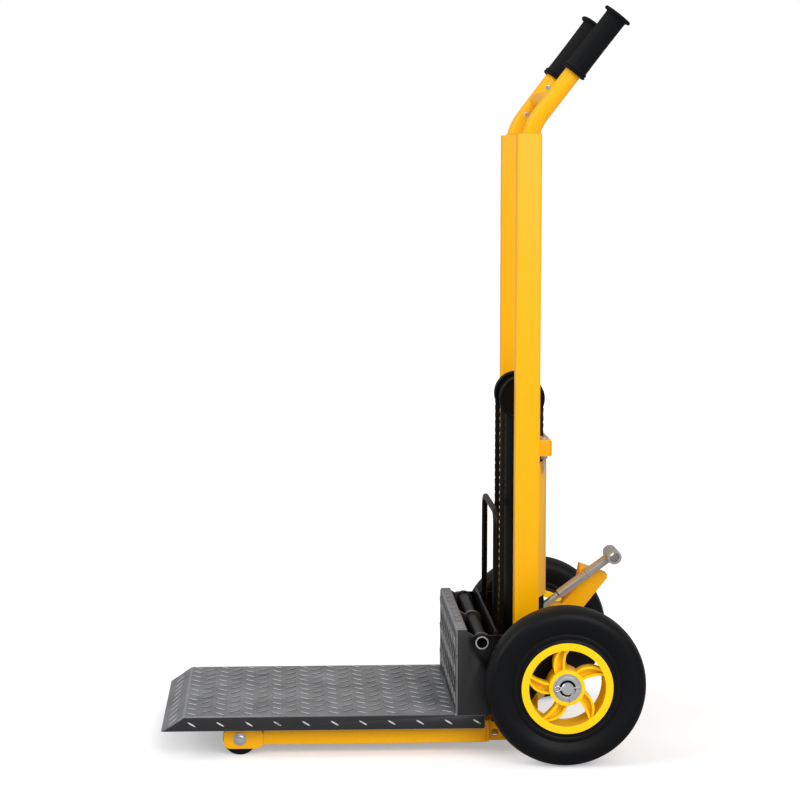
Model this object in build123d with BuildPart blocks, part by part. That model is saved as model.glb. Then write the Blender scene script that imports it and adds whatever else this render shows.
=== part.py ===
from build123d import *
import os
from math import atan2, cos, pi, radians, sin, tan

os.makedirs("parts", exist_ok=True)

# A hand-pushed platform stacker, in millimetres, +Z up, +X to the left of the person
# who pushes it and -Y the way the platform points. The origin is on the floor under
# the middle of the machine. Places along Y are given from the mast's centre line and
# heights from the floor, with the platform down at rest.

# How far the machine reaches
tip_reach = 600.0
wheel_radius = 130.0
axle_back = 54.0
mast_y = (tip_reach - axle_back - wheel_radius) / 2
axle_y = mast_y + axle_back
axle_z = wheel_radius

# Travel of the platform: the crosshead on the ram goes half as far
lift_travel = 830.0
ram_travel = lift_travel / 2

# Clearances
running_gap = 0.05
close_gap = 0.3
part_gap = 0.5
overrun = 5.0

# Mast columns: rectangular tubes with a capped top
column_width = 35.0
column_depth = 40.0
column_wall = 2.5
column_corner = 4.0
column_outer = 145.0
column_foot = 22.0
column_top = 1015.0
cap_thickness = 3.0
column_x = column_outer - column_width / 2
column_inner = column_outer - column_width
column_front_y = mast_y - column_depth / 2
column_back_y = mast_y + column_depth / 2

# Handles: round tubes that lean back and a little outwards
handle_radius = 14.0
handle_wall = 2.5
handle_socket = 60.0
handle_neck = 7.0
handle_rise = 181.0
handle_lean_deg = 37.5
handle_splay = 14.0
handle_bend_radius = 90.0
handle_bend_height = column_top + handle_neck
handle_back = handle_rise * tan(radians(handle_lean_deg))
brace_radius = 11.0
brace_rise = 53.0
brace_height = handle_bend_height + brace_rise

# Rubber grips
grip_length = 118.0
grip_radius = 18.5
grip_ring_radius = 21.0
grip_ring_length = 9.0
grip_flange_radius = 24.5
grip_flange_length = 5.0
grip_end_thickness = 4.0
grip_chamfer = 1.2

# Base legs, their brackets and the beam between the column feet
leg_x = 145.0
leg_width = 30.0
leg_wall = 3.0
leg_bottom = 18.0
leg_top = 46.0
leg_front = 434.0
leg_back = 69.0
bracket_plate = 5.0
bracket_web = 6.0
bracket_bottom = 19.0
bracket_top = 55.0
arm_top = 52.0
arm_hole_radius = 6.0
arm_hole_forward = 52.0
arm_hole_height = 32.0
beam_height = 30.0
beam_bottom = 19.0
beam_wall = 3.0
beam_top = beam_bottom + beam_height

# Front rollers in their forks
roller_radius = 28.0
roller_width = 20.0
roller_edge = 3.0
roller_forward = 472.0
roller_axle_radius = 5.0
fork_front = 499.0
fork_bottom = 11.5
fork_plate = 3.5
fork_nose_radius = 12.0
washer_radius = 10.5
washer_thickness = 2.0
bolt_head_radius = 8.0
bolt_head_height = 5.0

# Wheels: tyre, swirl-spoked rim and bearings
tyre_width = 62.0
tyre_outer_x = 266.0
tyre_inner_radius = 74.0
tyre_bead_radius = 83.0
tyre_bead_half = 23.0
tyre_wall_radius = 103.0
tyre_shoulder_radius = 124.0
tyre_shoulder_half = 25.0
rim_half = 27.0
rim_lip = 62.0
rim_barrel = 65.0
rim_lip_half = 20.0
hub_radius = 29.0
hub_half = 23.0
hub_bore = 13.0
bearing_radius = 23.0
bearing_width = 12.0
spoke_count = 5
spoke_first_deg = 17.0
spoke_swirl_deg = 25.0
spoke_spread_deg = 15.0
spoke_rib = 4.0
spoke_mid_share = 0.62
spoke_rib_half = 10.0
spoke_web_half = 4.0
spoke_offset = 6.0
axle_radius = 10.0
spacer_radius = 13.0
axle_washer_radius = 18.0
axle_washer_thickness = 2.5
axle_end_x = 265.0
split_pin_radius = 1.5
split_pin_length = 34.0
split_pin_inset = 2.5
wheel_x = tyre_outer_x - tyre_width / 2
hub_inner_x = wheel_x - hub_half
hub_outer_x = wheel_x + hub_half

# Gusset plates that carry the axle behind the column feet
gusset_plate = 5.0
gusset_inset = 2.0
gusset_bottom = 95.0
gusset_top = 158.0
gusset_eye = 19.0

# Lifting ram
barrel_radius = 25.0
barrel_bore = 20.0
barrel_top = 544.0
barrel_floor = 6.0
gland_radius = 16.0
gland_rise = 14.0
gland_top = barrel_top + gland_rise
gland_depth = 14.0
rod_radius = 11.0
piston_height = 20.0
piston_gap = 2.0

# Crosshead with its two chain pulleys
pulley_rise = 17.5
pulley_height = gland_top + part_gap + pulley_rise
pulley_x = 45.0
pulley_width = 18.0
pulley_groove = 10.0
pulley_flange_radius = 38.0
pulley_pin_radius = 7.0
pulley_pin_head_radius = 10.0
pulley_pin_head = 3.0
crosshead_half_width = 34.0
crosshead_depth = 28.0
crosshead_cap = 18.0
crosshead_top = pulley_height + crosshead_cap
crosshead_edge = 4.0

# Lower cross member of the carriage, where the chains end
member_front = 47.0
member_plate = 6.0
member_bottom = 112.0
member_top = 146.0

# Lifting chains
chain_pitch = 12.7
chain_width = 9.0
chain_bead = 5.6
chain_waist = 3.7
bead_start_share = 0.26
bead_end_share = 0.74
wrap_links = 8
pulley_pitch_radius = wrap_links * chain_pitch / pi
pulley_groove_radius = pulley_pitch_radius - chain_bead - close_gap
chain_back_y = mast_y + pulley_pitch_radius
chain_front_y = mast_y - pulley_pitch_radius

# Folded housing between the columns, behind the ram
housing_bottom = 70.0
housing_top = 473.0
housing_sheet = 2.4
housing_back = 41.0
housing_bend = 18.0
housing_flange_front = -5.0
housing_flat_half = 56.0
window_bottom = 183.0
window_top = 246.0

# Chain anchor bar above the housing, and its bolts
anchor_bottom = 486.0
anchor_top = 513.0
anchor_front = 26.0
anchor_back = 42.0
anchor_tab_front = 8.0
anchor_tab = 6.0
anchor_bolt_x = 88.0
anchor_bolt_back = 33.5
anchor_bolt_radius = 3.0
anchor_nut_radius = 6.0
anchor_nut_height = 7.0
anchor_head_height = 4.0
anchor_tail = 30.0
anchor_bolt_y = mast_y + anchor_bolt_back

# Links in each chain: up from the anchor with the platform raised, and down to the carriage
rear_links = int((pulley_height + ram_travel - anchor_bottom) / chain_pitch)
front_links = int((pulley_height - member_bottom) / chain_pitch)
chain_pin_height = pulley_height - front_links * chain_pitch

# Foot pump with its lever and pedal
pump_half_width = 30.0
pump_front = 18.0
pump_back = 41.0
pump_floor = 13.0
pump_roof = 6.0
pump_pivot_back = 33.5
pump_pivot_height = 212.0
pump_pin_radius = 4.0
pump_pin_proud = 1.5
pump_slot_front = 25.5
pedal_slot_low = -25.5
pedal_slot_high = 4.0
lever_slot_low = 8.5
lever_slot_high = 26.5
lever_x = 17.5
lever_eye_radius = 7.5
lever_eye_width = 16.0
lever_root_radius = 6.5
lever_radius = 8.5
lever_neck_share = 0.27
lever_ring_share = 0.65
lever_ring_radius = 9.5
lever_ring_length = 5.0
lever_reach = 125.5
lever_rise = 93.0
lever_tube_radius = 12.0
lever_tube_bore = 8.0
lever_tube_length = 60.0
pedal_eye_radius = 7.5
pedal_low_x = -25.0
pedal_high_x = 3.5
pedal_sheet = 3.0
pedal_heel_back = 75.0
pedal_heel_rise = 5.0
pedal_heel_depth = 14.0
pedal_foot_back = 112.0
pedal_foot_drop = 1.0
pedal_lip_back = 153.0
pedal_lip_rise = 50.0
pedal_toe_back = 106.0
pedal_toe_rise = 74.0
pedal_bend_back = 101.0
pedal_bend_rise = 35.0
pedal_lip = 7.0
pedal_heel_top = pump_pivot_height + pedal_heel_rise
pedal_foot_height = pump_pivot_height - pedal_foot_drop
pedal_lip_height = pump_pivot_height + pedal_lip_rise
pedal_toe_height = pump_pivot_height + pedal_toe_rise
pedal_bend_height = pump_pivot_height + pedal_bend_rise

# Carriage side plates
cheek_inner = 189.5
cheek_plate = 5.5
cheek_outer = cheek_inner + cheek_plate
cheek_top = 204.0
cheek_bottom = 61.0
cheek_nose = 97.0
cheek_front = 62.0
cheek_knee = 125.0
cheek_shoulder = 192.0
cheek_back_top = 74.0
cheek_back_bottom = 19.0
cheek_nose_fillet = 9.0
cheek_back_fillet = 20.0
cheek_foot_fillet = 12.0
pivot_forward = 78.0
pivot_height = 192.0
pivot_radius = 11.25
pivot_bore = 8.0
pivot_proud = 1.0

# Carriage rollers on the column faces
guide_radius = 17.0
guide_width = 30.0
guide_edge = 2.0
guide_axle_radius = 6.0
guide_gap = 0.3
upper_roller_height = 184.0
lower_roller_height = 93.0
upper_roller_y = column_back_y + guide_radius + guide_gap
lower_roller_y = column_front_y - guide_radius - guide_gap
stub_collar = 1.5
spacer_tube_radius = 9.0
carriage_washer_radius = 12.0
carriage_washer = 2.0
button_radius = 6.0
button_height = 3.5
button_socket_radius = 2.4
button_socket_depth = 2.0

# Upper cross bar of the carriage and the guard loop
crossbar_front = 57.0
crossbar_plate = 4.0
crossbar_bottom = 150.0
crossbar_top = 211.0
lug_plate = 3.0
lug_height = 14.0
lug_pin_radius = 2.0
guard_radius = 5.0
guard_half_width = 105.0
guard_bottom = 160.0
guard_top = 397.0
guard_corner = 22.0

# Platform: tread deck and upright back, folded from one sheet of plate each
deck_half_width = 187.0
deck_sheet = 3.0
deck_top = 73.0
deck_bottom = 48.0
deck_bevel = 563.0
deck_back = 72.0
back_front = 120.0
back_top = 212.0
back_flange = 18.0
flange_back = 62.5
rib_half = 3.0
rib_notch_rise = 6.0
rib_eye_wall = 4.0


def side_plane(x):
    return Plane.YZ.offset(x)


def x_axis(y, z):
    return Axis((0, y, z), (1, 0, 0))


def wheel_plane(x, y, z):
    return Plane(origin=(x, y, z), x_dir=(1, 0, 0), z_dir=(0, -1, 0))


def save(part, name):
    part.part.label = name
    export_step(part.part, f"parts/{name}.step")


sides = ((1, "left"), (-1, "right"))


def handle_points(side):
    low = Vector(side * column_x, mast_y, column_top - handle_socket)
    bend = Vector(side * column_x, mast_y, handle_bend_height)
    return low, bend, bend + Vector(side * handle_splay, handle_back, handle_rise)


# Mast columns, with a cap that the handle tube passes through
for side, side_name in sides:
    with BuildPart() as mast_column:
        with BuildSketch(Plane.XY.offset(column_foot)):
            with Locations((side * column_x, mast_y)):
                RectangleRounded(column_width, column_depth, column_corner)
                Rectangle(column_width - 2 * column_wall, column_depth - 2 * column_wall, mode=Mode.SUBTRACT)
        extrude(amount=column_top - cap_thickness - column_foot)
        with BuildSketch(Plane.XY.offset(column_top - cap_thickness)):
            with Locations((side * column_x, mast_y)):
                RectangleRounded(column_width, column_depth, column_corner)
        extrude(amount=cap_thickness)
        with BuildLine():
            FilletPolyline(*handle_points(side), radius=handle_bend_radius)
        with BuildSketch(Plane(origin=handle_points(side)[0], z_dir=(0, 0, 1))):
            Circle(handle_radius)
        sweep(mode=Mode.SUBTRACT)
    save(mast_column, f"mast_column_{side_name}")

# Handle tubes and grips
for side, side_name in sides:
    handle_low, handle_bend, handle_end = handle_points(side)
    handle_direction = (handle_end - handle_bend).normalized()
    with BuildPart() as handle_tube:
        with BuildLine():
            FilletPolyline(*handle_points(side), radius=handle_bend_radius)
        with BuildSketch(Plane(origin=handle_low, z_dir=(0, 0, 1))):
            Circle(handle_radius)
            Circle(handle_radius - handle_wall, mode=Mode.SUBTRACT)
        sweep()
    save(handle_tube, f"handle_tube_{side_name}")

    grip_start = handle_end - handle_direction * (grip_length - grip_end_thickness)
    grip_plane = Plane(origin=grip_start, z_dir=handle_direction)
    with BuildPart() as handle_grip:
        with BuildSketch(grip_plane):
            Circle(grip_radius)
        extrude(amount=grip_length)
        with BuildSketch(grip_plane):
            Circle(grip_ring_radius)
        extrude(amount=grip_ring_length)
        with BuildSketch(grip_plane.offset(grip_length - grip_flange_length)):
            Circle(grip_flange_radius)
        extrude(amount=grip_flange_length)
        chamfer(handle_grip.edges().filter_by(GeomType.CIRCLE), length=grip_chamfer)
        with BuildSketch(grip_plane):
            Circle(handle_radius)
        extrude(amount=grip_length - grip_end_thickness, mode=Mode.SUBTRACT)
    save(handle_grip, f"handle_grip_{side_name}")

# Brace between the handles, saddled to both tubes
brace_share = brace_rise / handle_rise
with BuildPart() as handle_brace:
    with BuildSketch(side_plane(-column_x)):
        with Locations((mast_y + handle_back * brace_share, brace_height)):
            Circle(brace_radius)
            Circle(brace_radius - handle_wall, mode=Mode.SUBTRACT)
    extrude(amount=2 * column_x)
    for side, side_name in sides:
        handle_low, handle_bend, handle_end = handle_points(side)
        with BuildSketch(Plane(origin=handle_bend, z_dir=handle_end - handle_bend)):
            Circle(handle_radius)
        extrude(amount=handle_rise, mode=Mode.SUBTRACT)
save(handle_brace, "handle_brace")

# Beam between the column feet
with BuildPart() as base_beam:
    with BuildSketch(side_plane(bracket_plate - column_inner)):
        with Locations((mast_y, beam_bottom + beam_height / 2)):
            Rectangle(column_depth, beam_height)
            Rectangle(column_depth - 2 * beam_wall, beam_height - 2 * beam_wall, mode=Mode.SUBTRACT)
    extrude(amount=2 * (column_inner - bracket_plate))
save(base_beam, "base_beam")

# Base brackets: a web in front and two arms that hold the column's foot
leg_back_y = mast_y - leg_back
web_back_y = leg_back_y + bracket_web
bracket_outer = leg_x + leg_width / 2
for side, side_name in sides:
    with BuildPart() as base_bracket:
        with BuildSketch(Plane.YZ.offset(side * (column_inner - bracket_plate))):
            with BuildLine():
                Polyline(
                    (leg_back_y, bracket_bottom),
                    (web_back_y, bracket_bottom),
                    (web_back_y, bracket_top),
                    (leg_back_y, bracket_top),
                    close=True,
                )
            make_face()
        extrude(amount=side * (bracket_outer - column_inner + bracket_plate))
        for arm_low in (column_inner - bracket_plate, column_outer):
            with BuildSketch(side_plane(side * arm_low)):
                with BuildLine():
                    Polyline(
                        (web_back_y, bracket_bottom),
                        (column_back_y, bracket_bottom),
                        (column_back_y, arm_top),
                        (web_back_y, arm_top),
                        close=True,
                    )
                make_face()
                with Locations((mast_y - arm_hole_forward, arm_hole_height)):
                    Circle(arm_hole_radius, mode=Mode.SUBTRACT)
            extrude(amount=side * bracket_plate)
    save(base_bracket, f"base_bracket_{side_name}")

# Base legs: box tubes under the platform
for side, side_name in sides:
    with BuildPart() as base_leg:
        with BuildSketch(Plane.XZ.offset(-leg_back_y)):
            with Locations((side * leg_x, (leg_bottom + leg_top) / 2)):
                Rectangle(leg_width, leg_top - leg_bottom)
                Rectangle(leg_width - 2 * leg_wall, leg_top - leg_bottom - 2 * leg_wall, mode=Mode.SUBTRACT)
        extrude(amount=leg_front - leg_back)
    save(base_leg, f"base_leg_{side_name}")

# Roller forks at the tips of the legs
leg_front_y = mast_y - leg_front
roller_y = mast_y - roller_forward
fork_front_y = mast_y - fork_front
with BuildPart() as roller_forks:
    for side, side_name in sides:
        for plate_low in (leg_x - leg_width / 2, leg_x + leg_width / 2 - fork_plate):
            with BuildSketch(side_plane(side * plate_low)):
                with BuildLine():
                    FilletPolyline(
                        (leg_front_y, fork_bottom),
                        (leg_front_y, leg_top),
                        (fork_front_y, leg_top),
                        (fork_front_y, fork_bottom),
                        radius=fork_nose_radius,
                        close=True,
                    )
                make_face()
                with Locations((roller_y, roller_radius)):
                    Circle(roller_axle_radius, mode=Mode.SUBTRACT)
            extrude(amount=side * fork_plate)
        with BuildSketch(Plane.XZ.offset(-leg_front_y)):
            with Locations((side * leg_x, (fork_bottom + leg_top) / 2)):
                Rectangle(leg_width, leg_top - fork_bottom - 2 * fork_nose_radius)
        extrude(amount=fork_plate)
save(roller_forks, "roller_forks")

# Bolts of the front rollers, with washers and nuts
with BuildPart() as front_roller_bolts:
    for side, side_name in sides:
        fork_out = leg_x + leg_width / 2
        fork_in = leg_x - leg_width / 2
        bolt_place = (roller_y, roller_radius)
        with BuildSketch(side_plane(side * (fork_in - washer_thickness - bolt_head_height))):
            with Locations(bolt_place):
                Circle(roller_axle_radius)
        extrude(amount=side * (fork_out - fork_in + 2 * washer_thickness + bolt_head_height))
        for face_x, way in ((fork_out, 1), (fork_in, -1)):
            with BuildSketch(side_plane(side * face_x)):
                with Locations(bolt_place):
                    Circle(washer_radius)
            extrude(amount=side * way * washer_thickness)
            with BuildSketch(side_plane(side * (face_x + way * washer_thickness))):
                with Locations(bolt_place):
                    RegularPolygon(bolt_head_radius, 6)
            extrude(amount=side * way * bolt_head_height)
save(front_roller_bolts, "front_roller_bolts")

# Front rollers
for side, side_name in sides:
    with BuildPart() as front_roller:
        with BuildSketch(side_plane(side * leg_x)):
            with Locations((roller_y, roller_radius)):
                Circle(roller_radius)
        extrude(amount=roller_width / 2, both=True)
        chamfer(front_roller.edges().filter_by(GeomType.CIRCLE), length=roller_edge)
        with BuildSketch(side_plane(side * leg_x)):
            with Locations((roller_y, roller_radius)):
                Circle(roller_axle_radius + running_gap)
        extrude(amount=roller_width, both=True, mode=Mode.SUBTRACT)
    save(front_roller, f"front_roller_{side_name}")

# Axle with its gussets, spacers, washers and split pins
with BuildPart() as wheel_axle:
    with BuildSketch(side_plane(-axle_end_x)):
        with Locations((axle_y, axle_z)):
            Circle(axle_radius)
    extrude(amount=2 * axle_end_x)
    for side, side_name in sides:
        with BuildSketch(Plane.XZ.offset(-axle_y)):
            with Locations((side * (axle_end_x - split_pin_inset), axle_z)):
                Circle(split_pin_radius)
        extrude(amount=split_pin_length, both=True, mode=Mode.SUBTRACT)
save(wheel_axle, "wheel_axle")

with BuildPart() as axle_gussets:
    for side, side_name in sides:
        for plate_low in (column_inner + gusset_inset, column_outer - gusset_inset - gusset_plate):
            with BuildSketch(side_plane(side * plate_low)):
                with BuildLine():
                    Polyline(
                        (column_back_y, gusset_bottom),
                        (axle_y, axle_z - gusset_eye),
                        (axle_y, axle_z + gusset_eye),
                        (column_back_y, gusset_top),
                        close=True,
                    )
                make_face()
                with Locations((axle_y, axle_z)):
                    Circle(gusset_eye)
                    Circle(axle_radius, mode=Mode.SUBTRACT)
            extrude(amount=side * gusset_plate)
save(axle_gussets, "axle_gussets")

with BuildPart() as axle_spacers:
    for side, side_name in sides:
        with BuildSketch(side_plane(side * (column_outer - gusset_inset))):
            with Locations((axle_y, axle_z)):
                Circle(spacer_radius)
                Circle(axle_radius, mode=Mode.SUBTRACT)
        extrude(amount=side * (hub_inner_x - close_gap - column_outer + gusset_inset))
save(axle_spacers, "axle_spacers")

with BuildPart() as axle_washers:
    for side, side_name in sides:
        with BuildSketch(side_plane(side * (hub_outer_x + close_gap))):
            with Locations((axle_y, axle_z)):
                Circle(axle_washer_radius)
                Circle(axle_radius, mode=Mode.SUBTRACT)
        extrude(amount=side * axle_washer_thickness)
save(axle_washers, "axle_washers")

with BuildPart() as split_pins:
    for side, side_name in sides:
        with BuildSketch(Plane.XZ.offset(-axle_y)):
            with Locations((side * (axle_end_x - split_pin_inset), axle_z)):
                Circle(split_pin_radius)
        extrude(amount=split_pin_length / 2, both=True)
save(split_pins, "split_pins")

# Tyres
for side, side_name in sides:
    with BuildPart() as tyre:
        with BuildSketch(wheel_plane(side * wheel_x, axle_y, axle_z)):
            with BuildLine():
                half = tyre_width / 2
                Polyline(
                    (tyre_bead_half, tyre_bead_radius),
                    (rim_half, tyre_inner_radius),
                    (-rim_half, tyre_inner_radius),
                    (-tyre_bead_half, tyre_bead_radius),
                )
                ThreePointArc(
                    (-tyre_bead_half, tyre_bead_radius),
                    (-half, tyre_wall_radius),
                    (-tyre_shoulder_half, tyre_shoulder_radius),
                )
                ThreePointArc(
                    (-tyre_shoulder_half, tyre_shoulder_radius),
                    (0, wheel_radius),
                    (tyre_shoulder_half, tyre_shoulder_radius),
                )
                ThreePointArc(
                    (tyre_shoulder_half, tyre_shoulder_radius),
                    (half, tyre_wall_radius),
                    (tyre_bead_half, tyre_bead_radius),
                )
            make_face()
        revolve(axis=x_axis(axle_y, axle_z))
    save(tyre, f"tyre_{side_name}")


def polar(radius, angle_deg):
    return Vector(radius * cos(radians(angle_deg)), radius * sin(radians(angle_deg)))


def rib_points(hub_deg, rim_deg):
    middle_deg = rim_deg + (hub_deg - rim_deg) * spoke_mid_share
    start = polar(hub_radius - spoke_rib, hub_deg)
    middle = polar((hub_radius + rim_barrel) / 2, middle_deg)
    end = polar(rim_barrel + spoke_rib / 2, rim_deg)
    return start, middle, end


def rib_sides(hub_deg, rim_deg):
    start, middle, end = rib_points(hub_deg, rim_deg)
    across = (end - start).normalized().rotate(Axis.Z, 90) * (spoke_rib / 2)
    return [(point + across, point - across) for point in (start, middle, end)]


# Rims: a barrel, a hub and swirl spokes of two ribs with a sunk web between
for side, side_name in sides:
    outward = Plane(origin=(side * wheel_x, axle_y, axle_z), x_dir=(0, side, 0), z_dir=(side, 0, 0))
    with BuildPart() as rim:
        with BuildSketch(wheel_plane(side * wheel_x, axle_y, axle_z)):
            with BuildLine():
                Polyline(
                    (-rim_half, tyre_inner_radius),
                    (rim_half, tyre_inner_radius),
                    (rim_half, rim_lip),
                    (rim_lip_half, rim_barrel),
                    (-rim_lip_half, rim_barrel),
                    (-rim_half, rim_lip),
                    close=True,
                )
            make_face()
        revolve(axis=x_axis(axle_y, axle_z))
        with BuildSketch(outward.offset(-hub_half)):
            Circle(hub_radius)
        extrude(amount=2 * hub_half)
        for number in range(spoke_count):
            rim_deg = spoke_first_deg + 360 * number / spoke_count
            first_deg = rim_deg + spoke_swirl_deg + spoke_spread_deg
            second_deg = rim_deg + spoke_swirl_deg - spoke_spread_deg
            for rib in (rib_sides(first_deg, rim_deg), rib_sides(second_deg, rim_deg)):
                with BuildSketch(outward.offset(spoke_offset)):
                    with BuildLine():
                        ThreePointArc(rib[0][0], rib[1][0], rib[2][0])
                        Line(rib[2][0], rib[2][1])
                        ThreePointArc(rib[2][1], rib[1][1], rib[0][1])
                        Line(rib[0][1], rib[0][0])
                    make_face()
                extrude(amount=spoke_rib_half, both=True)
            with BuildSketch(outward.offset(spoke_offset - spoke_rib_half)):
                with BuildLine():
                    ThreePointArc(*rib_points(first_deg, rim_deg))
                    ThreePointArc(*reversed(rib_points(second_deg, rim_deg)))
                    Line(rib_points(second_deg, rim_deg)[0], rib_points(first_deg, rim_deg)[0])
                make_face()
            extrude(amount=2 * spoke_web_half)
        with BuildSketch(outward.offset(-hub_half)):
            Circle(hub_bore)
        extrude(amount=2 * hub_half, mode=Mode.SUBTRACT)
        for face_level in (-hub_half, hub_half - bearing_width):
            with BuildSketch(outward.offset(face_level)):
                Circle(bearing_radius)
            extrude(amount=bearing_width, mode=Mode.SUBTRACT)
    save(rim, f"rim_{side_name}")

    with BuildPart() as wheel_bearings:
        for face_level in (-hub_half, hub_half - bearing_width):
            with BuildSketch(outward.offset(face_level)):
                Circle(bearing_radius)
                Circle(axle_radius + running_gap, mode=Mode.SUBTRACT)
            extrude(amount=bearing_width)
    save(wheel_bearings, f"wheel_bearings_{side_name}")

# Lifting ram: barrel, gland and rod with its piston
with BuildPart() as ram_barrel:
    with BuildSketch(Plane.XY.offset(beam_top)):
        with Locations((0, mast_y)):
            Circle(barrel_radius)
    extrude(amount=barrel_top - beam_top)
    with BuildSketch(Plane.XY.offset(beam_top + barrel_floor)):
        with Locations((0, mast_y)):
            Circle(barrel_bore)
    extrude(amount=barrel_top - beam_top, mode=Mode.SUBTRACT)
save(ram_barrel, "ram_barrel")

with BuildPart() as ram_gland:
    with BuildSketch(Plane.XY.offset(barrel_top - gland_depth)):
        with Locations((0, mast_y)):
            Circle(barrel_bore)
    extrude(amount=gland_depth)
    with BuildSketch(Plane.XY.offset(barrel_top)):
        with Locations((0, mast_y)):
            Circle(gland_radius)
    extrude(amount=gland_rise)
    with BuildSketch(Plane.XY.offset(barrel_top - gland_depth)):
        with Locations((0, mast_y)):
            Circle(rod_radius + running_gap)
    extrude(amount=gland_rise + gland_depth, mode=Mode.SUBTRACT)
save(ram_gland, "ram_gland")

crosshead_bottom = gland_top + part_gap
piston_bottom = beam_top + barrel_floor + piston_gap
with BuildPart() as ram_rod:
    with BuildSketch(Plane.XY.offset(piston_bottom)):
        with Locations((0, mast_y)):
            Circle(rod_radius)
    extrude(amount=crosshead_bottom - piston_bottom)
    with BuildSketch(Plane.XY.offset(piston_bottom)):
        with Locations((0, mast_y)):
            Circle(barrel_bore - running_gap)
    extrude(amount=piston_height)
save(ram_rod, "ram_rod")

# Crosshead block with the pin that carries both pulleys
with BuildPart() as crosshead:
    with BuildSketch(Plane.XY.offset(crosshead_bottom)):
        with Locations((0, mast_y)):
            Rectangle(2 * crosshead_half_width, crosshead_depth)
    extrude(amount=crosshead_top - crosshead_bottom)
    chamfer(crosshead.edges().filter_by(Axis.X).group_by(Axis.Z)[-1], length=crosshead_edge)
    pin_end = pulley_x + pulley_width / 2 + part_gap
    with BuildSketch(side_plane(-pin_end)):
        with Locations((mast_y, pulley_height)):
            Circle(pulley_pin_radius)
    extrude(amount=2 * pin_end)
    for side, side_name in sides:
        with BuildSketch(side_plane(side * pin_end)):
            with Locations((mast_y, pulley_height)):
                Circle(pulley_pin_head_radius)
        extrude(amount=side * pulley_pin_head)
save(crosshead, "crosshead")

with BuildPart() as chain_pulleys:
    for side, side_name in sides:
        with BuildSketch(wheel_plane(side * pulley_x, mast_y, pulley_height)):
            with BuildLine():
                Polyline(
                    (-pulley_width / 2, pulley_pin_radius + running_gap),
                    (-pulley_width / 2, pulley_flange_radius),
                    (-pulley_groove / 2, pulley_flange_radius),
                    (-pulley_groove / 2, pulley_groove_radius),
                    (pulley_groove / 2, pulley_groove_radius),
                    (pulley_groove / 2, pulley_flange_radius),
                    (pulley_width / 2, pulley_flange_radius),
                    (pulley_width / 2, pulley_pin_radius + running_gap),
                    close=True,
                )
            make_face()
        revolve(axis=x_axis(mast_y, pulley_height))
save(chain_pulleys, "chain_pulleys")


# Chains: rows of links seen from the side as beads with waists between them
def link_edge(point_at, count, way):
    edge = []
    for number in range(count):
        for share, half in ((0, chain_waist), (bead_start_share, chain_bead), (bead_end_share, chain_bead)):
            edge.append(point_at((number + share) * chain_pitch, way * half))
    edge.append(point_at(count * chain_pitch, way * chain_waist))
    return edge


def rear_point(along, out):
    """Up the rear run and over the pulley, measured from the chain's lower end."""
    straight = rear_links * chain_pitch
    if along <= straight:
        return chain_back_y + out, pulley_height - straight + along
    turn = (along - straight) / pulley_pitch_radius
    reach = pulley_pitch_radius + out
    return mast_y + reach * cos(turn), pulley_height + reach * sin(turn)


def front_point(along, out):
    """Down the front run, measured from the pulley's height."""
    return chain_front_y - out, pulley_height - along


for side, side_name in sides:
    with BuildPart() as chain_rear:
        with BuildSketch(side_plane(side * pulley_x)):
            with BuildLine():
                outer = link_edge(rear_point, rear_links + wrap_links, 1)
                inner = link_edge(rear_point, rear_links + wrap_links, -1)
                Polyline(*outer, *reversed(inner), close=True)
            make_face()
        extrude(amount=chain_width / 2, both=True)
    save(chain_rear, f"chain_rear_{side_name}")

    with BuildPart() as chain_front:
        with BuildSketch(side_plane(side * pulley_x)):
            with BuildLine():
                outer = link_edge(front_point, front_links, 1)
                inner = link_edge(front_point, front_links, -1)
                Polyline(*outer, *reversed(inner), close=True)
            make_face()
        extrude(amount=chain_width / 2, both=True)
    save(chain_front, f"chain_front_{side_name}")

# Rear housing: one folded sheet between the columns, with a window for the pump
housing_turn = atan2(column_inner - housing_flat_half, housing_back - housing_bend)
housing_inner_x = column_inner - housing_sheet
housing_inner_bend = mast_y + housing_bend - housing_sheet * tan(housing_turn / 2)
housing_inner_flat = housing_flat_half - housing_sheet * tan(pi / 4 - housing_turn / 2)
with BuildPart() as rear_housing:
    with BuildSketch(Plane.XY.offset(housing_bottom)):
        with BuildLine():
            Polyline(
                (-column_inner, mast_y + housing_flange_front),
                (-column_inner, mast_y + housing_bend),
                (-housing_flat_half, mast_y + housing_back),
                (housing_flat_half, mast_y + housing_back),
                (column_inner, mast_y + housing_bend),
                (column_inner, mast_y + housing_flange_front),
                (housing_inner_x, mast_y + housing_flange_front),
                (housing_inner_x, housing_inner_bend),
                (housing_inner_flat, mast_y + housing_back - housing_sheet),
                (-housing_inner_flat, mast_y + housing_back - housing_sheet),
                (-housing_inner_x, housing_inner_bend),
                (-housing_inner_x, mast_y + housing_flange_front),
                close=True,
            )
        make_face()
    extrude(amount=housing_top - housing_bottom)
    with BuildSketch(Plane.XY.offset(window_bottom)):
        with Locations((0, mast_y + housing_back)):
            Rectangle(2 * column_inner, 2 * (housing_back - housing_bend))
    extrude(amount=window_top - window_bottom, mode=Mode.SUBTRACT)
save(rear_housing, "rear_housing")

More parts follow.
